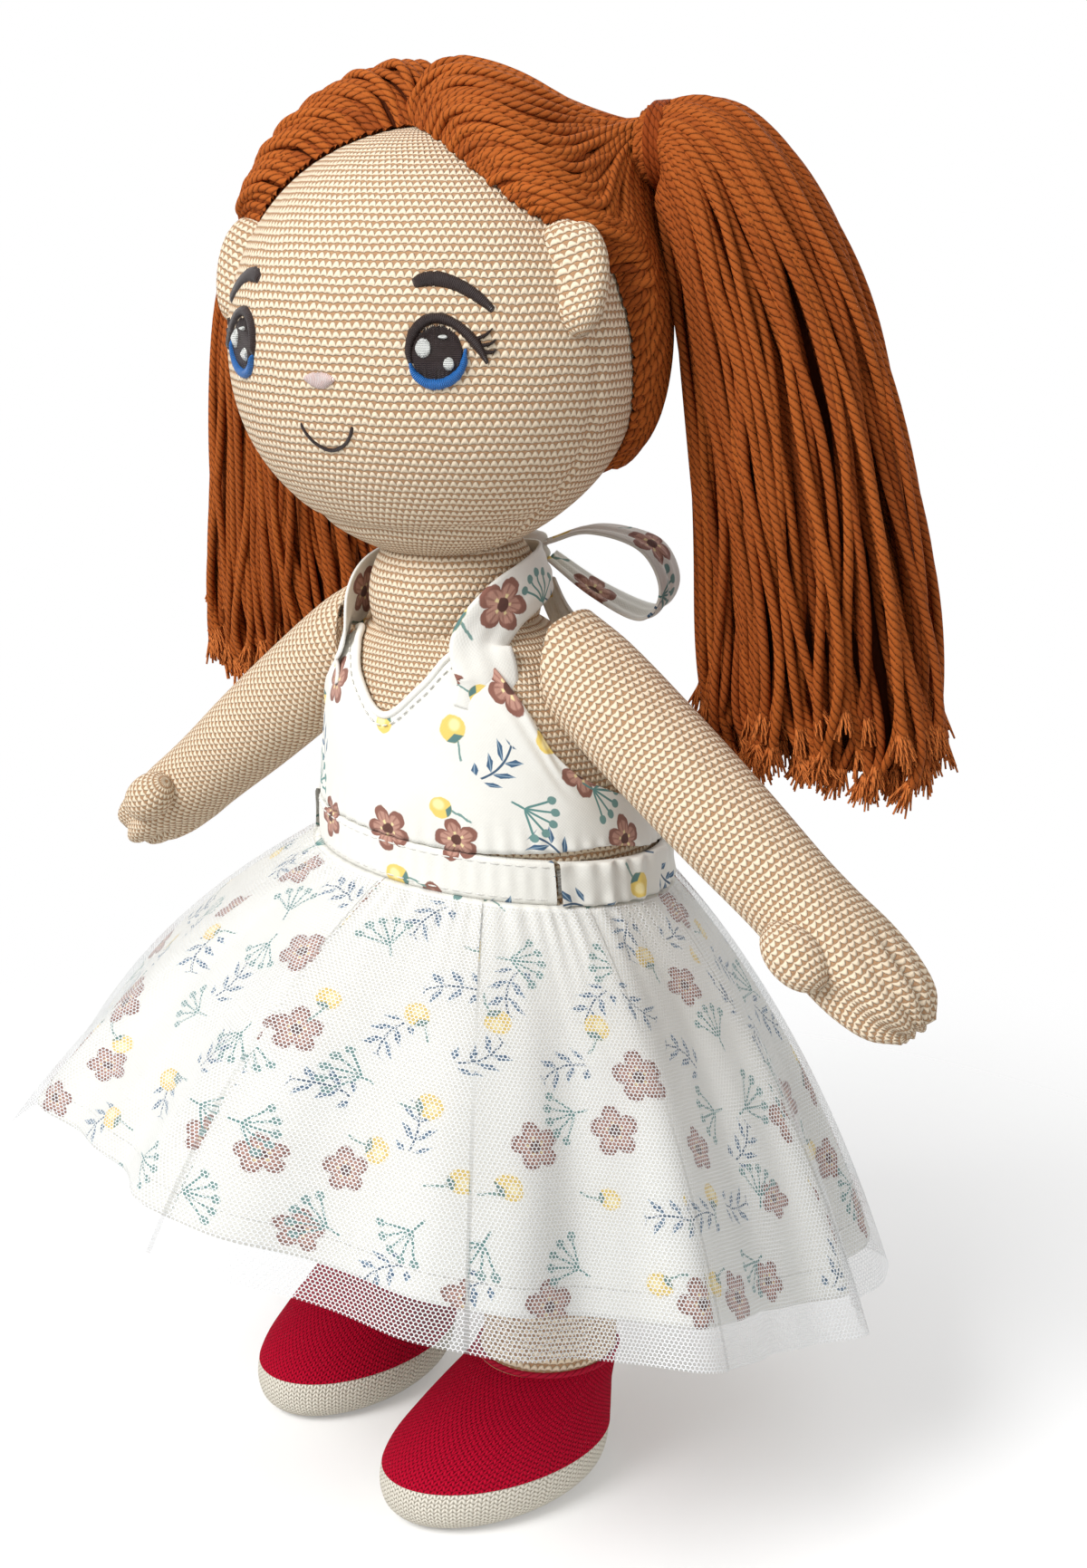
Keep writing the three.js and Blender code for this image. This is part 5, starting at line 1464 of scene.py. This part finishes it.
def frayed_end(path, radius):
    """Loose fibres that fan out of a cut end."""
    tip = path[-1]
    along = unit(path[-1] - path[-4])
    side = unit(np.cross(along, [0.3, 1, 0.2]))
    other = np.cross(along, side)
    t = np.linspace(0, 1, len(FIBRE_RADII))[:, None]
    found = []
    for k in range(END_FIBRES):
        turn = FULL_TURN * (k / END_FIBRES) + random.random()
        out = side * math.cos(turn) + other * math.sin(turn)
        reach = FIBRE_SPREAD * (0.35 + 0.75 * random.random())
        fall = FIBRE_LENGTH * (0.7 + 0.35 * random.random())
        start = tip - along * FIBRE_START + out * radius * 0.5
        found.append(start + along * (t * fall) + out * reach * t ** 1.2 + np.array([0, 0, -1.0]) * t * t)
    return found


def tail_strand(tail, side, turn, reach):
    """Path of one strand of a pigtail, with a sway and a length of its own."""
    line, sideways, backward, sizes = tail
    t = np.linspace(0, 1, TAIL_STEPS)
    tight = 1 - ramp(0.03, 0.2, t)
    drift = ramp(0.12, 0.6, t)
    held = TIE_HOLD * (0.35 + 0.6 * reach) * tight
    phase = random.random(3) * 6.3
    sway = 1.9 * np.sin(t * 6 + phase[0]) + 1.0 * np.sin(t * 15 + phase[1])
    swing = turn + drift * 0.075 * sway
    slack = 1 - 0.1 * drift * (1 + np.sin(t * 8 + phase[2]))
    wide = (TAIL_HALVES[0] * sizes[:, 0] * reach * (1 - tight) + held) * slack
    deep = (TAIL_HALVES[1] * sizes[:, 1] * reach * (1 - tight) + held) * slack
    path = line + sideways * (np.cos(swing) * wide)[:, None] + backward * (np.sin(swing) * deep)[:, None]
    path[:, 0] += drift * 0.8 * np.sin(t * 13 + phase[2])
    flick = ramp(0.72, 1, t)[:, None] * (random.random() - 0.25) * FLICK
    # tips at the front of the pigtail, next to the arm, stay in
    flick = flick * ramp(-0.3, 0.5, math.sin(turn))
    path = path + flick * (sideways * math.cos(turn) + backward * math.sin(turn))
    outer = 0.5 + 0.5 * side * math.cos(turn)
    keep = int(TAIL_STEPS * (1 - 0.03 * outer - 0.17 * random.random() ** 1.3))
    return path[:keep]


def build_tail(name):
    curve, sizes = tail_curve(name)
    line = smooth_path(curve, TAIL_STEPS)
    along = unit(np.gradient(line, axis=0))
    backward = turn_z(np.array([[0, 1.0, 0]]), HEAD_TURN)
    backward = unit(backward - along * (along @ backward[0])[:, None])
    sideways = np.cross(along, backward)
    tail = (line, sideways, backward, smooth_path(sizes, TAIL_STEPS))
    paths, radii, tones, fibres, fibre_tones = [], [], [], [], []
    for count, low, high, dim in TAIL_LAYERS:
        for k in range(count):
            turn = FULL_TURN * (k + 0.5 * random.random()) / count
            path = tail_strand(tail, TAILS[name][0], turn, low + (high - low) * random.random())
            # painted shade: inner layers of the pigtail start from a darker tone and outer ones from a
            # lighter one, plus a random share for each strand
            tones.append(np.full(len(path), dim + 0.3 * random.random()))
            radius = np.full(len(path), YARN_RADIUS * (0.94 + 0.14 * random.random()))
            radius[-2:] = radius[-2:] * (1.15, 1.3)
            paths.append(path)
            radii.append(radius)
            if high > 0.8:
                ends = frayed_end(path, radius[-1])
                fibres.extend(ends)
                fibre_tones.extend([1.05 + 0.5 * random.random()] * len(ends))
    hair = tubes(f'pigtail_{name}_yarn', paths, radii, hair_yarn, tones)
    loose = tubes('ends', fibres, [FIBRE_RADII] * len(fibres), hair_ends, fibre_tones, sides=4)
    joined(hair, loose, tail_core(*tail))
    place(hair, f'pigtail_{name}', 'yarn', f'pigtail_{name}')
    build_tie(name, line[TIE_STEP], along[TIE_STEP], sideways[TIE_STEP], backward[TIE_STEP])


def tail_core(line, sideways, backward, sizes):
    """Dark mass of painted shade inside a pigtail, seen between its strands."""
    around = full_circle(40)
    wide = TAIL_HALVES[0] * sizes[:, 0] * TAIL_CORE_SHARE
    deep = TAIL_HALVES[1] * sizes[:, 1] * TAIL_CORE_SHARE
    rings = [line[k] + sideways[k] * (np.cos(around) * wide[k])[:, None]
             + backward[k] * (np.sin(around) * deep[k])[:, None] for k in range(6, TAIL_STEPS - 3)]
    return lofted('core', np.array(rings), TAIL_CORE_GIRTH, painted_shade_hair)


def build_tie(name, middle, forward, sideways, backward):
    turns = np.linspace(0, FULL_TURN, 49)[:, None]
    ring = middle + (sideways * np.cos(turns) + backward * np.sin(turns)) * TIE_RADIUS
    bands = [ring + forward * shift for shift in TIE_BANDS]
    radii = [TIE_BAND_RADIUS] * len(bands)
    tie = tubes(f'hair_tie_{name}_band', bands, radii, tie_yarn, TIE_BAND_TONES, sides=10)
    place(tie, f'pigtail_{name}', 'tie_band', f'hair_tie_{name}')


# Build everything

build_torso()
build_neck()
build_head()
for ear_name, ear_side in SIDES:
    build_ear(ear_name, ear_side)
build_face()
for limb, hand_side in SIDES:
    build_arm(limb, hand_side)
    build_leg(limb)
    build_tail(limb)
build_cap()
build_bodice()
build_waistband()
build_casing()
build_straps()
build_skirts()

# Stage, lamps and camera

def look_from(azimuth, pitch):
    back = np.array([math.sin(azimuth), -math.cos(azimuth), 0])
    right = np.array([math.cos(azimuth), math.sin(azimuth), 0])
    ahead = -back * math.cos(pitch) - np.array([0, 0, math.sin(pitch)])
    return back, right, ahead, np.cross(right, ahead)


def pose(made, position, right, upward, ahead):
    columns = np.stack([right, upward, -ahead], 1)
    matrix = mathutils.Matrix(columns.tolist()).to_4x4()
    matrix.translation = mathutils.Vector((position * MM).tolist())
    made.matrix_world = matrix


def lamp(name, azimuth, pitch, distance, size, power):
    data = bpy.data.lights.new(name, 'AREA')
    data.shape = 'DISK'
    data.size = size * MM
    data.energy = power
    made = bpy.data.objects.new(name, data)
    bpy.context.scene.collection.objects.link(made)
    _, right, ahead, upward = look_from(math.radians(azimuth), math.radians(pitch))
    pose(made, LAMP_AIM - ahead * distance, right, upward, ahead)


def build_world():
    """White surroundings that light the doll at half the strength they are seen at."""
    world = bpy.data.worlds.new('studio')
    bpy.context.scene.world = world
    world.use_nodes = True
    tree = world.node_tree
    background = tree.nodes['Background']
    background.inputs['Color'].default_value = (1, 1, 1, 1)
    rays = tree.nodes.new('ShaderNodeLightPath').outputs
    seen = Value(tree, rays['Is Camera Ray']).most(Value(tree, rays['Is Glossy Ray']))
    seen = seen.most(Value(tree, rays['Is Transmission Ray']))
    tree.links.new((seen * 0.5 + 0.5).socket, background.inputs['Strength'])


def build_floor():
    """White disc that takes the doll's shadow and fades out further away."""
    bpy.ops.mesh.primitive_circle_add(vertices=64, radius=FLOOR_RADIUS * MM, fill_type='NGON',
                                      location=(0, 0, -FLOOR_DROP * MM))
    floor = bpy.context.object
    floor.name = 'floor'
    paint = Paint('floor', roughness=0.9)
    paint.colour(rgb('FFFFFF'))
    spread = paint.tree.nodes.new('ShaderNodeVectorMath')
    spread.operation = 'LENGTH'
    paint.tree.links.new(paint.object_space, spread.inputs[0])
    away = Value(paint.tree, spread.outputs['Value'])
    paint.see_through(away.step(FLOOR_FADE[0] * MM, FLOOR_FADE[1] * MM) * FLOOR_COVER)
    floor.data.materials.append(paint.material)


def build_camera():
    data = bpy.data.cameras.new('camera')
    data.lens = LENS
    data.sensor_fit = 'VERTICAL'
    data.sensor_height = SENSOR_HEIGHT
    data.clip_start = 0.01
    camera = bpy.data.objects.new('camera', data)
    bpy.context.scene.collection.objects.link(camera)
    back, right, ahead, upward = look_from(AZIMUTH, PITCH)
    position = back * DISTANCE + right * SIDE_SHIFT + np.array([STAND_X, STAND_Y, CAMERA_LEVEL])
    pose(camera, position, right, upward, ahead)
    bpy.context.scene.camera = camera
    bpy.context.scene.view_settings.view_transform = 'Standard'


for lamp_name, settings in LAMPS.items():
    lamp(lamp_name, *settings)
build_world()
build_floor()
build_camera()
